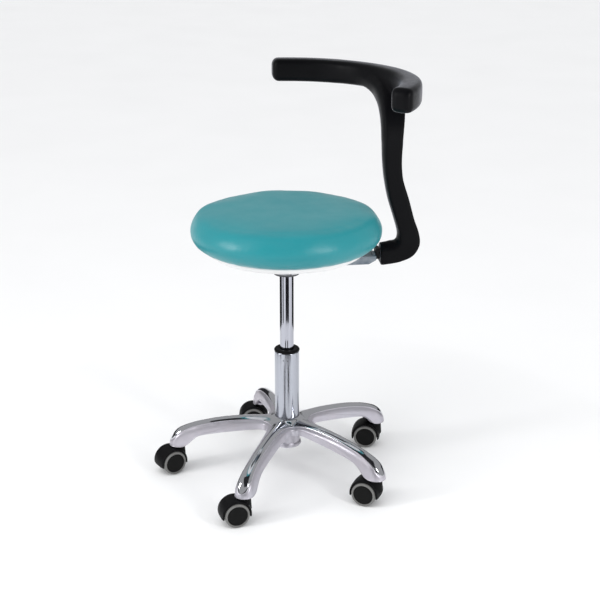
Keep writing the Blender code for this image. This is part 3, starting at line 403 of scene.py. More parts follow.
def pan_plastic(name):
    """White moulded pan: low gloss, faint mould flow and scuffs."""
    made = Finish(name, (0.83, 0.83, 0.83), 0.36, IOR=1.48)
    made.vary_roughness(made.noise(40, 4), 0.08)
    made.tint(made.noise(6, 4), (0.78, 0.78, 0.77), 0.7)
    made.bump(made.noise(1200, 3), 0.00002)
    return made.material


def plywood(name):
    """Birch board: long grain along X and fine pores."""
    made = Finish(name, (0.50, 0.35, 0.20), 0.66)
    grain = made.noise(18, 6, (0.25, 4, 4))
    made.tint(grain, (0.30, 0.19, 0.10), 0.8)
    made.vary_roughness(grain, 0.1)
    made.bump(made.noise(160, 4, (0.1, 4, 4)), 0.00012)
    return made.material


def painted_steel(name, colour, roughness, metallic=0.0, worn=(0.30, 0.31, 0.33)):
    """Powder coat: orange-peel surface, worn to metal along its edges."""
    made = Finish(name, colour, roughness, metallic)
    made.vary_roughness(made.noise(60, 4), 0.1)
    made.tint(made.noise(12, 4), tuple(min(c * 1.5, 1) for c in colour), 0.6)
    made.wear(worn, 0.7)
    made.bump(made.noise(500, 3), 0.00005)
    return made.material


def plated_steel(name):
    """Zinc plate: mottled crystals and a dull sheen."""
    made = Finish(name, (0.50, 0.51, 0.53), 0.34, 1.0)
    made.vary_roughness(made.noise(70, 4), 0.12)
    made.tint(made.cells(160), (0.38, 0.39, 0.42), 0.7)
    made.bump(made.noise(900, 3), 0.00002)
    return made.material


ALUMINIUM = polished_metal("aluminium_buffed", (0.68, 0.69, 0.73), 0.085)
CASTING = cast_metal("aluminium_satin", (0.56, 0.55, 0.61))
TUBE_CHROME = drawn_chrome("tube_chrome", (0.50, 0.52, 0.58), 0.17)
CHROME = drawn_chrome("cylinder_chrome", (0.50, 0.51, 0.57), 0.07)
BLACK_PLASTIC = moulded_plastic("black_plastic", (0.0045, 0.0045, 0.0050), 0.46)
HOOD_PLASTIC = moulded_plastic("hood_plastic", (0.0040, 0.0040, 0.0045), 0.50)
CAP_PLASTIC = moulded_plastic("cap_plastic", (0.0055, 0.0055, 0.0055), 0.44)
SUPPORT_SKIN = moulded_skin("support_skin")
LEATHERETTE = leatherette("leatherette")
TYRE = tyre_rubber("tyre_grey")
RUBBER = black_rubber("rubber_black")
PAN = pan_plastic("pan_white")
PLYWOOD = plywood("plywood_birch")
BLACK_STEEL = painted_steel("steel_black", (0.022, 0.022, 0.024), 0.46)
BRACKET_STEEL = painted_steel("steel_blue_grey", (0.085, 0.115, 0.145), 0.40, 0.45, (0.50, 0.53, 0.57))
ZINC = plated_steel("steel_zinc")


# ---------------------------------------------------------------- base casting

LEG_COUNT = 5
SECTOR = math.pi / LEG_COUNT
HUB_RING = 0.0262          # where the casting meets the tube
HUB_HIGH_RING = TUBE_LOW.z + 0.0640  # height at which the casting meets the tube
HUB_LOW_BOSS = TUBE_LOW.z - 0.001
NOTCH = 0.0435             # how far out two legs part
NOTCH_DIP = 0.004          # how far the top falls from a ridge to the notch
NOTCH_LENGTH = 0.035       # stretch of leg beside the notch that has its own stations
HUB_BLEND = 0.014          # how fast the hub's flowing top becomes the leg's rounded one
SHAFT_END = 0.198          # where the leg starts to turn down to its tip
TIP_START = 0.205          # where the rounded top starts to turn into the fuller tip
TIP_LENGTH = 0.030
CASTING_WALL = 0.0032
TIP_RADIUS = 0.0195
TIP_END = 0.0178           # the polished top's end past the caster's stem

# distance out, ridge height, crease height, crease half width, side half width, bottom height
LEG = [
    (0.0352, 0.1270, 0.1215, 0.0130, 0.0215, 0.1050),
    (0.0600, 0.1270, 0.1222, 0.0118, 0.0205, 0.1040),
    (0.0900, 0.1262, 0.1212, 0.0108, 0.0190, 0.1000),
    (0.1400, 0.1205, 0.1157, 0.0102, 0.0180, 0.0930),
    (0.1850, 0.1108, 0.1058, 0.0104, 0.0180, 0.0840),
    (0.2000, 0.1062, 0.1010, 0.0110, 0.0183, 0.0735),
    (0.2120, 0.1015, 0.0958, 0.0122, 0.0189, 0.0615),
    (0.2220, 0.0970, 0.0898, 0.0132, 0.0194, 0.0578),
    (0.2290, 0.0930, 0.0845, 0.0134, 0.0195, 0.0575),
    (0.2370, 0.0855, 0.0765, 0.0134, 0.0195, 0.0575),
    (0.2430, 0.0755, 0.0705, 0.0134, 0.0195, 0.0575),
    (0.2470, 0.0675, 0.0675, 0.0134, 0.0195, 0.0575),
]
LEG_BOTTOM = LEG[-1][5]
NOTCH_X = NOTCH * math.cos(SECTOR)
NOTCH_Y = NOTCH * math.sin(SECTOR)
TIP_X = TIP_REACH + TIP_END


def leg_station(x):
    """(ridge, crease height, crease half width, side half width, bottom) at a distance out."""
    ridge, crease, half, side, bottom = curve_through(LEG, x)
    reach = (NOTCH_Y - LEG[0][3]) / math.tan(math.pi / 2 - SECTOR)
    flare = (NOTCH_Y - LEG[0][3]) * math.exp(-(x - NOTCH_X) / reach)
    fall = NOTCH_DIP * math.exp(-(x - NOTCH_X) / (0.9 * reach))
    if x > TIP_REACH:
        half *= math.sqrt(max(0, 1 - ((x - TIP_REACH) / TIP_END) ** 2))
    return ridge, min(crease, ridge) - fall * 0.35, half + flare, side + flare, bottom


def side_point(x):
    """Where the leg's side stands over the floor for a station: out along the crease's normal."""
    step = 0.0002
    half, side = leg_station(x)[2:4]
    if x >= TIP_REACH:
        turn = math.atan2(half, x - TIP_REACH)
        return TIP_REACH + TIP_RADIUS * math.cos(turn), TIP_RADIUS * math.sin(turn)
    slope = (leg_station(x + step)[2] - half) / step
    normal = Vector((-slope, 1)).normalized()
    if x <= NOTCH_X:
        normal = Vector((math.cos(SECTOR), math.sin(SECTOR)))
    return x + normal.x * (side - half), half + normal.y * (side - half)


def leg_stations():
    """Distances out, close together beside the notch and again towards the tip's end."""
    notch = [NOTCH_X + NOTCH_LENGTH * (i / 12) ** 1.7 for i in range(13)]
    shaft = [notch[-1] + (SHAFT_END - notch[-1]) * i / 18 for i in range(1, 19)]
    tip = [TIP_X - (TIP_X - SHAFT_END) * math.cos(math.pi / 2 * i / 20) for i in range(1, 21)]
    return notch + shaft + sorted(TIP_X - (x - SHAFT_END) for x in tip[:-1]) + [TIP_X]


def top_row(x, across):
    """The polished top at a station, from one crease to the other."""
    ridge, crease, half = leg_station(x)[:3]
    tip = min(max((x - TIP_START) / TIP_LENGTH, 0), 1)
    root = math.exp(-(x - NOTCH_X) / HUB_BLEND)
    power = 1 - 0.5 * tip
    row = []
    for v in across:
        dome = (1 - v * v) ** power
        wave = (1 + math.cos(math.pi * v)) / 2
        share = dome * (1 - root) + wave * root
        row.append((x, half * v, crease + (ridge - crease) * share))
    return row


def hub_rows(across, count=9):
    """The top from the tube's ring out to the line between two notches."""
    outer = top_row(NOTCH_X, across)
    rows = []
    for i in range(count):
        t = i / count
        ease = t * t * (3 - 2 * t)
        row = []
        for v, (x, y, z) in zip(across, outer):
            ring_x, ring_y = HUB_RING * math.cos(SECTOR * v), HUB_RING * math.sin(SECTOR * v)
            rise = (z - HUB_HIGH_RING) * ease
            row.append((ring_x + (x - ring_x) * t, ring_y + (y - ring_y) * t, HUB_HIGH_RING + rise))
        rows.append(row)
    return rows


def skirt_column(x):
    """One side of the leg at a station, from the crease over a narrow lip and down to the bottom edge.

    Each step is a share of the way out and a share of the way down.
    """
    crease, half = leg_station(x)[1:3]
    bottom = leg_station(x)[4]
    side_x, side_y = side_point(x)
    along = min(max((x - 0.055) / 0.14, 0), 1)
    shoulder = 0.22 + 0.72 * along
    lip_out, lip_down = 0.16, 0.11
    steps = [(0, 0), (0.015, 0.05), (0.05, 0.085), (lip_out, lip_down)]
    for i in range(1, 5):
        turn = math.pi / 2 * i / 4
        fall = (1 - math.cos(turn)) ** 0.8
        steps.append((lip_out + (0.90 - lip_out) * math.sin(turn), lip_down + (shoulder - lip_down) * fall))
    steps += [(0.90, shoulder + 0.015), (0.97, shoulder + 0.03), (1.0, 1.0)]
    column = []
    for out, down in steps:
        height = crease - (crease - bottom) * min(down, 1)
        column.append((x + (side_x - x) * out, half + (side_y - half) * out, height))
    return column


def base_casting():
    """Five hollow legs round the hub: buffed tops, satin sides and the boss that takes the tube."""
    across = [math.sin(math.pi / 2 * i / 8) for i in range(-8, 9)]
    xs = leg_stations()
    top = hub_rows(across) + [top_row(x, across) for x in xs]
    sides = [skirt_column(x) for x in xs]
    mirrored = [[(x, -y, z) for x, y, z in column] for column in sides]
    points, faces, marks = [], [], []
    for rows, mark in ((top, 0), (sides, 1), (mirrored, 1)):
        made, quads = skin(rows)
        faces += [tuple(k + len(points) for k in quad) for quad in quads]
        marks += [mark] * len(quads)
        points += made
    all_points, all_faces, all_marks = [], [], []
    for leg in range(LEG_COUNT):
        turn = Matrix.Rotation(FIRST_LEG + 2 * SECTOR * leg, 3, "Z")
        offset = len(all_points)
        all_points += [tuple(turn @ Vector(p)) for p in points]
        all_faces += [tuple(k + offset for k in face) for face in faces]
        all_marks += marks
    mesh = bpy.data.meshes.new("base_casting")
    mesh.from_pydata(all_points, [], all_faces)
    mesh.polygons.foreach_set("material_index", all_marks)
    shape = bmesh.new()
    shape.from_mesh(mesh)
    bmesh.ops.remove_doubles(shape, verts=shape.verts, dist=2e-5)
    bmesh.ops.dissolve_degenerate(shape, edges=shape.edges, dist=1e-5)
    bmesh.ops.recalc_face_normals(shape, faces=shape.faces)
    up = sum(f.normal.z * f.calc_area() for f in shape.faces)
    if up < 0:
        bmesh.ops.reverse_faces(shape, faces=shape.faces)
    shape.to_mesh(mesh)
    shape.free()
    casting = new_object("base_casting", mesh, [ALUMINIUM, CASTING])
    casting.location = AXIS
    smoother = casting.modifiers.new("Subdivision", "SUBSURF")
    smoother.levels = smoother.render_levels = 1
    wall = casting.modifiers.new("Wall", "SOLIDIFY")
    wall.thickness = CASTING_WALL
    wall.offset = -1
    wall.use_even_offset = False
    wall.material_offset = 0
    wall.material_offset_rim = 0
    apply_modifiers(casting)
    casting.data.shade_smooth()
    casting.data.set_sharp_from_angle(angle=math.radians(50))
    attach(casting, "base")
    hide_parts("base_star")


def hub_boss():
    """The boss under the hub, with a scalloped foot."""
    low, top = HUB_LOW_BOSS, HUB_HIGH_RING

    def scallop(angle, r, z):
        lift = max(0, 1 - (z - low) / 0.010)
        return r + (0.0010 * abs(math.cos(4 * angle)) * lift if r > 0.025 else 0)

    bore = TUBE_RADIUS - TUBE_TAPER + 0.0003
    corners = [
        (HUB_RING - 0.0006, top + 0.0002), (HUB_RING + 0.0022, top - 0.0012), (0.0345, top - 0.018),
        (0.0290, top - 0.026), (0.0264, top - 0.034), (0.0262, low + 0.009), (0.0282, low + 0.006),
        (0.0285, low + 0.0005), (bore + 0.0008, low), (bore, top - 0.030), (HUB_RING - 0.0008, top - 0.001),
        (HUB_RING - 0.0006, top + 0.0002),
    ]
    boss = turned("hub_boss", corners, CASTING, AXIS, 0.0012, 96, scallop)
    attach(boss, "base")


def stem_sockets():
    """The boss inside each leg's tip that takes a caster's stem."""
    bore = 0.0062
    corners = [
        (bore, 0.0005), (0.0165, 0.0005), (0.0165, 0.0045), (0.0105, 0.008), (0.0095, 0.022),
        (bore, 0.023), (bore, 0.0005),
    ]
    for name, tip in zip(CASTERS, TIPS):
        at = Vector((tip.x, tip.y, LEG_BOTTOM))
        socket = turned(f"stem_socket_{name}", corners, CASTING, at, 0.0008, 48)
        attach(socket, "base")


# ---------------------------------------------------------------- column

CRIMPS = (-106, -88, 44, 62)  # where they are round the tube, in degrees
CRIMP_DROP = 0.0145        # how far below the tube's mouth the painted crimp shade sits


def stand_tube():
    """The chromed tube, tapered where the hub holds it."""
    top, foot, hub = TUBE_HIGH.z, TUBE_LOW.z, HUB_HIGH_RING
    outer, inner = TUBE_RADIUS, TUBE_RADIUS - TUBE_WALL
    tube = turned("stand_tube", [
        (inner, top - 0.0005), (outer - 0.0008, top), (outer, top - 0.0012, 0.0008), (outer, hub, 0.01),
        (outer - TUBE_TAPER, foot), (inner - TUBE_TAPER, foot), (inner, hub, 0.01), (inner, top - 0.0005),
    ], TUBE_CHROME, AXIS, 0.0005, 96)
    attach(tube, "base")
    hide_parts("column_tube")


def painted_crimp_shade():
    """Painted shade: small black discs where the tube is pressed in to hold its bush, standing in for the
    shade in dents that the tube's mesh doesn't have.
    """
    profile = rounded([(0, 0.0003), (0.0010, 0.0002), (0.0013, -0.0006), (0, -0.0006)], 0.0002)
    for i, angle in enumerate(CRIMPS):
        # a black steel disc painted on the chrome as the shade of a crimp dent
        mark = shade(new_object(f"tube_crimp_shade_{i + 1}", turned_mesh("crimp", profile, 20), [BLACK_STEEL]))
        mark.matrix_world = (
            Matrix.Translation(AXIS + Vector((0, 0, TUBE_HIGH.z - CRIMP_DROP)))
            @ Matrix.Rotation(math.radians(angle), 4, "Z") @ Matrix.Translation((TUBE_RADIUS, 0, 0))
            @ Matrix.Rotation(math.pi / 2, 4, "Y") @ Matrix.Diagonal((1, 1.5, 1, 1))
        )
        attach(mark, "base")


def guide_bush():
    """The black bush in the tube's mouth, with its lip over the tube's end."""
    low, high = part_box("guide_bush")
    lip = radius_of("guide_bush", AXIS_X, AXIS_Y)
    inner = radius_of("gas_cylinder", AXIS_X, AXIS_Y) + 0.0003
    skirt, rim = TUBE_RADIUS - TUBE_WALL - 0.0003, TUBE_HIGH.z
    bush = turned("bush_cap", [
        (inner, high.z - 0.0016), (inner + 0.0022, high.z - 0.0002), (lip - 0.0028, high.z),
        (lip, high.z - 0.0022, 0.0016), (lip, rim + 0.0004), (skirt, rim + 0.0003),
        (skirt, low.z), (inner, low.z), (inner, high.z - 0.0016),
    ], BLACK_PLASTIC, AXIS, 0.0008, 72)
    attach(bush, "base")
    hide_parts("guide_bush")


def gas_spring():
    """The bright cylinder, with its mouth and the hole in its foot for the rod."""
    radius = radius_of("gas_cylinder", AXIS_X, AXIS_Y)
    low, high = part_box("gas_cylinder")
    tube = turned("gas_spring_tube", [
        (0.0055, low.z), (radius - 0.0012, low.z), (radius, low.z + 0.0012), (radius, high.z - 0.024),
        (radius - 0.0003, high.z - 0.0008), (radius - 0.0012, high.z), (0.0033, high.z),
        (0.0033, high.z - 0.018), (radius - 0.0018, high.z - 0.018), (radius - 0.0018, low.z + 0.006),
        (0.0055, low.z + 0.006), (0.0055, low.z),
    ], CHROME, AXIS, 0.0006, 72)
    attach(tube, "seat")
    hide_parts("gas_cylinder")


# ---------------------------------------------------------------- seat

PAN_SEAT_DEPTH = 0.008
PAN_SEAT_RADIUS = 0.112
PAN_LIP = 0.0005           # the rim bears into the pad's soft underside
CREASES = 0.12             # share of the cloth's small creases that the cover keeps
FOLD_DEPTH = 0.0006
FOLD_HEIGHT = 0.018        # the pull-in folds fade out this far above the board
CLOTH_GRID = 0.0055        # distance between the cloth's points
CLOTH_STIFFNESS = 30
CLOTH_BENDING = 1.5
CLOTH_FRAMES = 20
EVENING_ROUNDS = 26        # how often the swell is averaged with its neighbours'
PRESSURE = 4.0
MOST_SWELL = 0.006         # how far a point of the cover may move as it fills
HELD_BAND = 0.003          # height of the stapled underside that the pressure doesn't move


def seat_pan():
    """A shallow moulded dish with a thick middle that the plate is bolted to."""
    low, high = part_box("seat_pan")
    rim = radius_of("seat_pan", AXIS_X, AXIS_Y)
    edge = low.z + PAN_SEAT_DEPTH
    floor = rim - 0.0115
    pan = turned("pan_shell", [
        (0.028, low.z), (PAN_SEAT_RADIUS, low.z, 0.003), (PAN_SEAT_RADIUS + PAN_SEAT_DEPTH, edge, 0.003),
        (floor, edge, 0.004), (rim - 0.0022, edge + 0.0055, 0.005), (rim, high.z - 0.001, 0.003),
        (rim, high.z + PAN_LIP), (rim - 0.0025, high.z + PAN_LIP), (rim - 0.0048, edge + 0.0058, 0.004),
        (floor - 0.0015, edge + 0.0025, 0.004), (0.028, edge + 0.0025), (0.028, low.z),
    ], PAN, AXIS, 0.0008, 144)
    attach(pan, "seat")
    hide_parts("seat_pan")


def cushion_cage(low, high, radius):
    """A closed round pad, a little slacker than the finished cushion, for the pressure to fill."""
    height = high - low
    corners = [
        (0, high - 0.0050), (radius * 0.55, high - 0.0050, 0.03), (radius - 0.0165, high - 0.0066, 0.0150),
        (radius - 0.0060, high - 0.0260, 0.016), (radius - 0.0030, low + height * 0.42, 0.012),
        (radius - 0.0100, low + 0.0120, 0.012), (radius - 0.0300, low + 0.0004, 0.008), (0, low + 0.0004),
    ]
    return turned_mesh("cushion", rounded(corners, 0.004, 6), 96)


def evened(obj, values, rounds):
    """Averages a value over neighbouring points, which takes the small creases out of it."""
    pairs = np.empty(len(obj.data.edges) * 2, np.int32)
    obj.data.edges.foreach_get("vertices", pairs)
    near, far = pairs.reshape(-1, 2).T
    count = np.bincount(pairs, minlength=len(values))[:, None]
    for _ in range(rounds):
        total = np.zeros_like(values)
        np.add.at(total, near, values[far])
        np.add.at(total, far, values[near])
        values = total / count
    return values


def inflate(obj):
    """Fills the pad by cloth pressure, and keeps most of the swell but few of the creases."""
    remesh(obj, CLOTH_GRID)
    rest = np.array([v.co for v in obj.data.vertices])
    cloth = obj.modifiers.new("Cloth", "CLOTH")
    cloth.settings.use_pressure = True
    cloth.settings.uniform_pressure_force = PRESSURE
    cloth.settings.tension_stiffness = CLOTH_STIFFNESS
    cloth.settings.compression_stiffness = CLOTH_STIFFNESS
    cloth.settings.bending_stiffness = CLOTH_BENDING
    cloth.settings.effector_weights.gravity = 0
    low = rest[:, 2].min()
    reach = np.hypot(rest[:, 0], rest[:, 1])
    held = [int(i) for i in np.where((rest[:, 2] < low + HELD_BAND) & (reach < reach.max() - 0.02))[0]]
    group = obj.vertex_groups.new(name="held")
    group.add(held, 1.0, "REPLACE")
    cloth.settings.vertex_group_mass = "held"
    scene = bpy.context.scene
    for step in range(1, CLOTH_FRAMES + 1):
        scene.frame_set(step)
    graph = bpy.context.evaluated_depsgraph_get()
    moved = np.array([v.co for v in obj.evaluated_get(graph).data.vertices])
    obj.modifiers.clear()
    scene.frame_set(1)
    change = moved - rest
    length = np.linalg.norm(change, axis=1, keepdims=True)
    change *= np.minimum(1, MOST_SWELL / np.maximum(length, 1e-9))
    change = CREASES * change + (1 - CREASES) * evened(obj, change, EVENING_ROUNDS)
    obj.data.vertices.foreach_set("co", (rest + change).astype(np.float32).ravel())
    obj.data.update()


def cushion():
    """The padded cover, filled by a cloth simulation."""
    low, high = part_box("seat_cushion")
    radius = radius_of("seat_cushion", AXIS_X, AXIS_Y)
    pad = new_object("cushion_cover", cushion_cage(low.z, high.z, radius), [LEATHERETTE])
    pad.location = AXIS
    bpy.context.view_layer.update()
    inflate(pad)
    relax(pad, 4)
    finer = pad.modifiers.new("Subdivision", "SUBSURF")
    finer.levels = finer.render_levels = 1
    apply_modifiers(pad)
    fit_cushion(pad, low.z, high.z, radius)
    pad.data.shade_smooth()
    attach(pad, "seat")
    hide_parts("seat_cushion")


def fit_cushion(pad, low, high, radius):
    """Keeps the pad's outline at its CAD size, flat under the board, with faint pull-in folds below."""
    co = np.array([v.co for v in pad.data.vertices])
    reach = np.hypot(co[:, 0], co[:, 1])
    co[:, :2] *= radius / reach.max()
    reach *= radius / reach.max()
    bottom, top = co[:, 2].min(), co[:, 2].max()
    co[:, 2] = low + (co[:, 2] - bottom) * (high - low) / (top - bottom)
    angle = np.arctan2(co[:, 1], co[:, 0])
    below = np.clip(1 - (co[:, 2] - low) / FOLD_HEIGHT, 0, 1) * np.clip((reach - radius + 0.05) / 0.03, 0, 1)
    fold = (np.sin(29 * angle) + 0.6 * np.sin(47 * angle + 1.3)) * FOLD_DEPTH * below
    scale = 1 + fold / np.maximum(reach, 0.01)
    co[:, 0] *= scale
    co[:, 1] *= scale
    pad.data.vertices.foreach_set("co", co.astype(np.float32).ravel())
    pad.data.update()


# ---------------------------------------------------------------- body support

SUPPORT_HALF = 0.020
BAR_RADIUS = 0.2375
BAR_HALF_DEPTH = 0.021
BAR_HALF_HEIGHT = 0.0235
BAR_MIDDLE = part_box("body_support")[1].z - BAR_HALF_HEIGHT
BAR_NEAR = math.radians(-35.5)
BAR_FAR = math.radians(91)
ELBOW_LOW = BAR_MIDDLE - 0.107
ELBOW_TURN = math.radians(52)
ELBOW_SET_IN = 0.0042      # the elbow's inner edge behind the bar's inner wall where it ends
ELBOW_LAG = 2.2            # how late the elbow's inner face leans out
FILLET = 0.021             # reach of the blend where the stem meets the bar
STEM_CORNER = 0.0045
BAR_CAP = 0.0135           # length of the bar's rounded ends
SUPPORT_GRID = 0.0017

# outer side (distance, height), inner edge (distance, height), crown of the inner face
STEM = [
    (0.1872, 0.4545, 0.1872, 0.4820, 0.0150),
    (0.2080, 0.4565, 0.2040, 0.4835, 0.0160),
    (0.2290, 0.4605, 0.2160, 0.4868, 0.0160),
    (0.2530, 0.4715, 0.2240, 0.4935, 0.0120),
    (0.2660, 0.4940, 0.2275, 0.5030, 0.0070),
    (0.2635, 0.5190, 0.2255, 0.5190, 0.0035),
    (0.2530, 0.5486, 0.2165, 0.5487, 0.0028),
    (0.2416, 0.5889, 0.2040, 0.5890, 0.0028),
    (0.2290, 0.6288, 0.1965, 0.6290, 0.0035),
    (0.2255, 0.6640, 0.1935, 0.6640, 0.0045),
    (0.2265, ELBOW_LOW, 0.1925, ELBOW_LOW, 0.0055),
]


def stem_section(outer, inner, lateral, half, crown):
    """Flat sides and back with soft corners, and a crowned face towards the sitter."""
    depth = (outer - inner).normalized()
    side = lateral.normalized()
    length = (outer - inner).length
    corner = min(STEM_CORNER, length * 0.3)
    quarter = [math.pi / 2 * i / 5 for i in range(6)]
    points = []
    for i in range(15):
        s = -1 + 2 * i / 14
        points.append(inner - depth * crown * (1 - abs(s) ** 2.3) + side * half * s)
    for k in (0.25, 0.5, 0.75):
        points.append(inner + side * half + depth * (length - corner) * k)
    for a in quarter:
        across = side * (half - corner + corner * math.cos(a))
        points.append(outer + across - depth * corner * (1 - math.sin(a)))
    for k in (-0.6, -0.2, 0.2, 0.6):
        points.append(outer - side * (half - corner) * k)
    for a in quarter:
        across = side * (half - corner + corner * math.sin(a))
        points.append(outer - across - depth * corner * (1 - math.cos(a)))
    for k in (0.75, 0.5, 0.25):
        points.append(inner - side * half + depth * (length - corner) * k)
    return points


def stem_rows():
    rows = []
    places = [(i, *row) for i, row in enumerate(STEM)]
    count = 5 * (len(STEM) - 1)
    for i in range(count + 1):
        r_out, z_out, r_in, z_in, crown = curve_through(places, i / 5)
        outer, inner = Vector((r_out, 0, z_out)), Vector((r_in, 0, z_in))
        rows.append(stem_section(outer, inner, Vector((0, 1, 0)), SUPPORT_HALF, crown))
    return rows + elbow_rows()


def elbow_rows():
    """The stem's top, turning along the bar as it rises into it."""
    rows = []
    last_out, _, last_in = STEM[-1][:3]
    end_out, end_in = BAR_RADIUS + BAR_HALF_DEPTH - 0.004, BAR_RADIUS - BAR_HALF_DEPTH + ELBOW_SET_IN
    steps = 26
    height = BAR_MIDDLE - ELBOW_LOW
    for i in range(1, steps + 1):
        share = i / steps
        turn = share * math.pi / 2
        angle = ELBOW_TURN * (1 - math.cos(turn))
        out_way = Vector((math.cos(angle), math.sin(angle), 0))
        along = Vector((-math.sin(angle), math.cos(angle), 0))
        path = along * (BAR_RADIUS * ELBOW_TURN * math.sin(turn)) + Vector((0, 0, height * math.cos(turn)))
        lateral = path.normalized().cross(out_way)
        blend = share * share * (3 - 2 * share)
        rise = Vector((0, 0, ELBOW_LOW + height * math.sin(turn)))
        outer = out_way * (last_out + (end_out - last_out) * blend ** 0.8) + rise
        inner = out_way * (last_in + (end_in - last_in) * blend ** ELBOW_LAG) + rise
        rows.append(stem_section(outer, inner, lateral, SUPPORT_HALF - 0.003 * blend, 0.006 - 0.002 * blend))
    return rows


def bar_row(angle, scale):
    """A pillowed rectangle across the bar: flat top, fuller inner and outer faces."""
    row = []
    for i in range(40):
        a = 2 * math.pi * i / 40
        c, s = math.cos(a), math.sin(a)
        x = math.copysign(abs(c) ** (2 / 3.4), c) * BAR_HALF_DEPTH * scale
        z = math.copysign(abs(s) ** (2 / 5.5), s) * BAR_HALF_HEIGHT * scale
        reach = BAR_RADIUS + x
        row.append((reach * math.cos(angle), reach * math.sin(angle), BAR_MIDDLE + z))
    return row


def bar_rows():
    """The bar from its near end to its far one, with both ends rounded."""
    cap = BAR_CAP / BAR_RADIUS
    rows = []
    near, far = BAR_NEAR + cap, BAR_FAR - cap
    turns = [math.pi / 2 * i / 8 for i in range(9)]
    for t in turns:
        rows.append(bar_row(near - cap * math.cos(t), 0.35 + 0.65 * math.sin(t) ** 0.9))
    steps = 60
    rows += [bar_row(near + (far - near) * i / steps, 1) for i in range(1, steps)]
    for t in reversed(turns):
        rows.append(bar_row(far + cap * math.cos(t), 0.35 + 0.65 * math.sin(t) ** 0.9))
    return rows


def closed_skin(name, rows):
    points, faces = skin(rows, closed_across=True)
    count = len(rows[0])
    faces.append(tuple(range(count)))
    faces.append(tuple(len(points) - count + k for k in range(count)))
    return mesh_of(name, points, faces)


def surface_tree(mesh):
    points = [vertex.co.copy() for vertex in mesh.vertices]
    return BVHTree.FromPolygons(points, [list(face.vertices) for face in mesh.polygons])


def weigh_joint(obj, trees):
    """A vertex group that is full where both surfaces are close, for the fillet."""
    group = obj.vertex_groups.new(name="joint")
    for vertex in obj.data.vertices:
        gap = max(tree.find_nearest(vertex.co)[3] for tree in trees)
        if gap < FILLET:
            group.add([vertex.index], (1 - gap / FILLET) ** 0.5, "REPLACE")


def body_support():
    """Stem and bar fused into one moulding, with a fillet where they meet."""
    stem = new_object("stem", closed_skin("stem", stem_rows()), [])
    bar = new_object("support_moulding", closed_skin("support_moulding", bar_rows()), [SUPPORT_SKIN])
    trees = [surface_tree(stem.data), surface_tree(bar.data)]
    unite(bar, [stem])
    remesh(bar, SUPPORT_GRID)
    weigh_joint(bar, trees)
    relax(bar, 60, 0.6, "joint")
    relax(bar, 9)
    apply_modifiers(bar)
    if not bar.data.materials:
        bar.data.materials.append(SUPPORT_SKIN)
    bar.matrix_world = Matrix.Translation(AXIS) @ Matrix.Rotation(ARM_TURN, 4, "Z")
    bar.data.shade_smooth()
    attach(bar, "support_arm")
    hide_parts("body_support")


# ---------------------------------------------------------------- casters

WHEEL_RADIUS = 0.025
WHEEL_FACE = 0.0225
WHEEL_BACK = 0.0078
TREAD_WALL = 0.0045
HOOD_RADIUS = 0.031
HOOD_HALF = 0.0205
TRAIL = 0.020
SKIRT = math.radians(12)   # how far the hood comes down past its axle's level
HOOD_GAP = 0.0013          # between the wheel and the inside of its hood
HOOD_EDGE = 0.0026         # width of the hood's rounded edge
HOOD_CROWN = 0.0012        # how much the hood is fuller in its middle
HOOD_WEB = 0.0070          # half width of the web between the wheels
HOOD_GRID = 0.0009
NECK_TOP = LEG_BOTTOM - 0.0006


def hood_mesh():
    """The hood about its axle (along Y), arched over both wheels, with the web and the stem's neck."""
    well, web, flat = WHEEL_RADIUS + HOOD_GAP, HOOD_WEB, HOOD_HALF - HOOD_EDGE
    shoulder = HOOD_RADIUS - HOOD_CROWN
    outer = [(-HOOD_HALF + HOOD_EDGE * (1 - math.cos(a)), well + (shoulder - well) * math.sin(a))
             for a in [math.pi / 2 * i / 4 for i in range(5)]]
    crown = [(flat * k, HOOD_RADIUS - HOOD_CROWN * k * k) for k in [-1 + 2 * i / 8 for i in range(1, 8)]]
    profile = outer + crown + [(-y, r) for y, r in reversed(outer)]
    profile += [(web + 0.003, well), (web, well - 0.003), (web, 0.004)]
    profile += [(-web, 0.004), (-web, well - 0.003), (-web - 0.003, well)]
    rows = []
    steps = 40
    for i in range(steps + 1):
        a = -SKIRT + (math.pi + 2 * SKIRT) * i / steps
        rows.append([(r * math.cos(a), y, r * math.sin(a)) for y, r in profile])
    return closed_skin("hood_arch", rows)


def hood():
    """The hood's arch with the axle's hub and the stem's neck fused to it."""
    arch = new_object("hood_arch", hood_mesh(), [])
    barrel = [(0, HOOD_WEB), (0.0085, HOOD_WEB), (0.0085, -HOOD_WEB), (0, -HOOD_WEB)]
    hub = new_object("hood_hub", turned_mesh("hood_hub", barrel, 40), [])
    hub.rotation_euler = (math.pi / 2, 0, 0)
    neck_low, neck_top = 0.004, NECK_TOP - WHEEL_RADIUS
    neck = new_object("hood_neck", turned_mesh("hood_neck", [
        (0, neck_top), (0.0118, neck_top), (0.0125, neck_top - 0.001), (0.0130, neck_top - 0.010),
        (0.0142, neck_low), (0, neck_low)], 40), [])
    neck.location = (-TRAIL, 0, 0)
    unite(arch, [hub, neck])
    remesh(arch, HOOD_GRID)
    relax(arch, 3)
    apply_modifiers(arch)
    mesh = arch.data.copy()
    bpy.data.objects.remove(arch, do_unlink=True)
    mesh.materials.clear()
    mesh.shade_smooth()
    return mesh


def wheel_mesh():
    """A wheel's black core: dished face with a raised rim and a cap in the middle. Face at +Z."""
    core = WHEEL_RADIUS - TREAD_WALL
    corners = [
        (0, WHEEL_FACE), (core * 0.55, WHEEL_FACE - 0.0001, 0.004),
        (core - 0.0016, WHEEL_FACE - 0.0005, 0.0012), (core - 0.0004, WHEEL_FACE - 0.0016),
        (core - 0.0003, WHEEL_BACK), (0.0045, WHEEL_BACK),
        (0.0045, WHEEL_BACK + 0.002), (0, WHEEL_BACK + 0.002),
    ]
    return turned_mesh("wheel_core", rounded(corners, 0.0008, 3), 72)


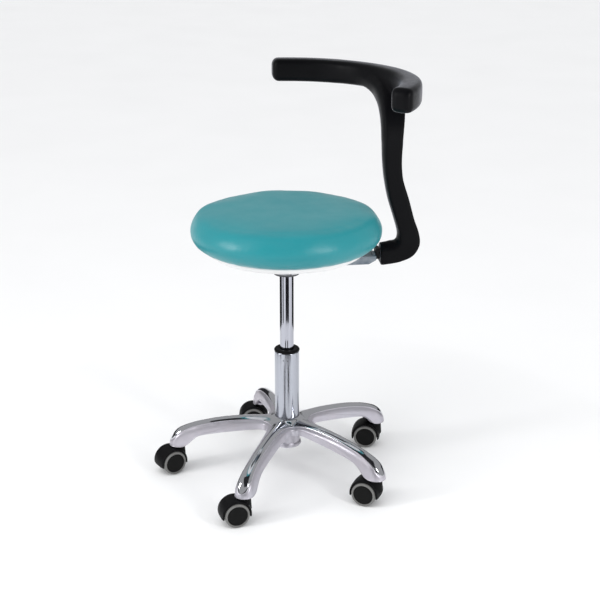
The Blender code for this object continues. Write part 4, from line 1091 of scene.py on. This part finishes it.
def tread_mesh():
    """The grey ring that rolls on the floor."""
    core = WHEEL_RADIUS - TREAD_WALL - 0.0002
    high, low = WHEEL_FACE - 0.0002, WHEEL_BACK + 0.001
    corners = [
        (core, high - 0.0008), (core + 0.0006, high, 0.0004), (WHEEL_RADIUS - 0.0010, high - 0.0001, 0.0010),
        (WHEEL_RADIUS, high - 0.0024, 0.0016), (WHEEL_RADIUS, low + 0.0025, 0.002),
        (WHEEL_RADIUS - 0.0018, low, 0.001), (core, low), (core, high - 0.0008),
    ]
    return turned_mesh("tread_ring", rounded(corners, 0.0008, 4), 96)


def casters():
    meshes = {"hood": hood(), "wheel": wheel_mesh(), "tread": tread_mesh()}
    for name in CASTERS:
        caster = f"caster_{name}"
        roll = joint(f"{caster}_roll_a")
        centre = Vector(roll["pos_m"])
        stem = middle(f"{caster}_stem")
        trail = Vector((centre.x - stem.x, centre.y - stem.y, 0)).normalized()
        heading = math.atan2(trail.y, trail.x)
        upright = Matrix.Translation((centre.x, centre.y, WHEEL_RADIUS)) @ Matrix.Rotation(heading, 4, "Z")
        cover = new_object(f"{caster}_hood_shell", meshes["hood"].copy(), [HOOD_PLASTIC])
        cover.matrix_world = upright
        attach(cover, caster)
        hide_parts(f"{caster}_hood")
        for side in "ab":
            low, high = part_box(f"{caster}_wheel_{side}")
            outward = (low + high) / 2 - Vector((centre.x, centre.y, WHEEL_RADIUS))
            across = upright.to_3x3() @ Vector((0, 1, 0))
            sign = 1 if outward.dot(across) > 0 else -1
            place = upright @ Matrix.Rotation(-sign * math.pi / 2, 4, "X")
            core = shade(new_object(f"{caster}_wheel_core_{side}", meshes["wheel"].copy(), [CAP_PLASTIC]), 50)
            ring = shade(new_object(f"{caster}_tyre_{side}", meshes["tread"].copy(), [TYRE]), 50)
            for piece, node, slot in ((core, "wheel", "black_plastic"), (ring, "tread", "grey_tread")):
                piece.matrix_world = place
                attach(piece, f"{caster}_roller_{side}")
                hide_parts(f"{caster}_{node}_{side}")


# ---------------------------------------------------------------- carried CAD nodes

CARRIED = {
    "thrust_bearing": ZINC, "rubber_bumper": RUBBER, "piston_rod": CHROME, "piston": BLACK_PLASTIC,
    "retaining_clip": ZINC, "seat_plate": BLACK_STEEL, "seat_board": PLYWOOD, "arm_ring_clip": ZINC,
    "valve_pin": ZINC, "release_lever": ZINC, "lever_grip": BLACK_PLASTIC, "arm_bracket": BRACKET_STEEL,
    "pivot_bush": BLACK_PLASTIC, "arm_bolt": ZINC,
}
# pieces that are in view, with the radius of their edges
SOFT_EDGED = {"arm_bracket": 0.0009, "pivot_bush": 0.0006, "seat_plate": 0.0004, "arm_bolt": 0.0005}


def carried_nodes():
    """CAD nodes that are shown as they are, each with its own finish."""
    finishes = dict(CARRIED)
    finishes.update({f"seat_bolt_{i}": ZINC for i in range(1, 5)})
    for name in CASTERS:
        finishes[f"caster_{name}_stem"] = ZINC
        finishes[f"caster_{name}_axle"] = ZINC
    for name, finish in finishes.items():
        node = frame["nodes"][name]
        node.data.materials.clear()
        node.data.materials.append(finish)
        if name in SOFT_EDGED:
            edge = node.modifiers.new("Edge", "BEVEL")
            edge.width = SOFT_EDGED[name]
            edge.segments = 2
            edge.limit_method = "ANGLE"
            edge.angle_limit = math.radians(40)


# ---------------------------------------------------------------- studio

FLOOR_SIZE = 60
BACKDROP_LIGHT = 1.0       # the sky as the camera sees it
REFLECTED_LIGHT = 0.42     # the sky in reflections
EVEN_LIGHT = 0.72          # the sky's light on matte surfaces
CAMERA_PLACE = (0, -2.4, 1.2463)
CAMERA_LENS = 75.96
CAMERA_DROP = 19.79        # degrees below level
CAMERA_YAW = -0.64
# low cards round the stool: distance, height and the two azimuths they stand between
CARDS = [
    (0.80, 0.24, (-108, -52)), (0.80, 0.24, (5, 78)), (0.80, 0.24, (-260, -176)), (0.80, 0.24, (-160, -142)),
    (0.44, 0.10, (-118, -104)), (0.44, 0.10, (-84, -70)),
]
ROOF = [(-1.3, -3.2, 2.0), (1.3, -3.2, 2.0), (1.3, 0.1, 2.7), (-1.3, 0.1, 2.7)]


def floor():
    """A pale plain floor, out to the horizon."""
    made = Finish("studio_floor", (0.90, 0.90, 0.90), 0.60)
    made.vary_roughness(made.noise(3, 3), 0.05)
    made.tint(made.noise(2, 3), (0.88, 0.88, 0.88), 0.6)
    half = FLOOR_SIZE / 2
    mesh = bpy.data.meshes.new("studio_floor")
    corners = [(-half, -half, 0), (half, -half, 0), (half, half, 0), (-half, half, 0)]
    mesh.from_pydata(corners, [], [(0, 1, 2, 3)])
    ground = new_object("studio_floor", mesh, [made.material])
    ground.location = (0, 0, -0.0004)


def dark_card(name, points, faces):
    """A black card seen only in reflections."""
    black = Finish(name, (0.008, 0.008, 0.010), 0.9)
    black.vary_roughness(black.noise(10), 0.05)
    mesh = bpy.data.meshes.new(name)
    mesh.from_pydata(points, [], faces)
    card = new_object(name, mesh, [black.material])
    card.location = AXIS
    card.visible_camera = False
    card.visible_diffuse = False
    card.visible_shadow = False


def dark_cards():
    """Curved low cards and a roof that give the polished metal its dark streaks."""
    for i, (radius, height, (start, end)) in enumerate(CARDS):
        points, faces = [], []
        steps = 10
        for k in range(steps + 1):
            a = math.radians(start + (end - start) * k / steps)
            foot = (radius * math.cos(a), radius * math.sin(a))
            points += [(*foot, 0.001), (*foot, height)]
        for k in range(steps):
            faces.append((2 * k, 2 * k + 2, 2 * k + 3, 2 * k + 1))
        dark_card(f"studio_card_{i}", points, faces)
    dark_card("studio_roof", ROOF, [(0, 1, 2, 3)])


def soft_sun(name, towards, strength, spread):
    """Broad, even light from one side of the sky."""
    light = bpy.data.lights.new(name, "SUN")
    light.energy = strength
    light.angle = math.radians(spread)
    made = bpy.data.objects.new(name, light)
    bpy.context.scene.collection.objects.link(made)
    made.rotation_euler = Vector(towards).to_track_quat("-Z", "Y").to_euler()
    made.visible_glossy = False


def soft_box(name, place, aim, size, power):
    """A panel light that also shows as a highlight."""
    light = bpy.data.lights.new(name, "AREA")
    light.shape = "RECTANGLE"
    light.size, light.size_y = size
    light.energy = power
    made = bpy.data.objects.new(name, light)
    bpy.context.scene.collection.objects.link(made)
    made.location = place
    made.rotation_euler = (Vector(aim) - Vector(place)).to_track_quat("-Z", "Y").to_euler()


def sky():
    """White to the camera, dimmer in reflections, even elsewhere."""
    world = bpy.data.worlds.new("studio")
    bpy.context.scene.world = world
    world.use_nodes = True
    nodes, links = world.node_tree.nodes, world.node_tree.links
    path = nodes.new("ShaderNodeLightPath")
    even = nodes["Background"]
    even.inputs["Color"].default_value = (0.97, 0.98, 1.0, 1)
    even.inputs["Strength"].default_value = EVEN_LIGHT
    last = even.outputs[0]
    for ray, strength in (("Is Glossy Ray", REFLECTED_LIGHT), ("Is Camera Ray", BACKDROP_LIGHT)):
        seen = nodes.new("ShaderNodeBackground")
        seen.inputs["Color"].default_value = (1, 1, 1, 1)
        seen.inputs["Strength"].default_value = strength
        mix = nodes.new("ShaderNodeMixShader")
        links.new(path.outputs[ray], mix.inputs["Fac"])
        links.new(last, mix.inputs[1])
        links.new(seen.outputs[0], mix.inputs[2])
        last = mix.outputs[0]
    links.new(last, nodes["World Output"].inputs["Surface"])


def studio():
    sky()
    soft_sun("key", towards=(0.75, 0.65, -1.5), strength=1.05, spread=50)
    soft_sun("fill", towards=(-0.8, 0.6, -1.3), strength=0.35, spread=70)
    seat = (AXIS_X, AXIS_Y, 0.52)
    soft_box("side_left", place=(-2.1, -0.9, 1.25), aim=seat, size=(0.35, 0.9), power=16)
    soft_box("side_right", place=(1.6, -1.75, 1.15), aim=seat, size=(0.30, 0.8), power=15)


def camera():
    data = bpy.data.cameras.new("camera")
    data.sensor_width = 36
    data.lens = CAMERA_LENS
    made = bpy.data.objects.new("camera", data)
    bpy.context.scene.collection.objects.link(made)
    made.location = AXIS + Vector(CAMERA_PLACE)
    made.rotation_euler = (math.radians(90 - CAMERA_DROP), 0, math.radians(CAMERA_YAW))
    bpy.context.scene.camera = made


base_casting()
hub_boss()
stem_sockets()
stand_tube()
painted_crimp_shade()
guide_bush()
gas_spring()
seat_pan()
cushion()
body_support()
casters()
carried_nodes()
floor()
dark_cards()
studio()
camera()
bpy.context.scene.view_settings.view_transform = "Standard"
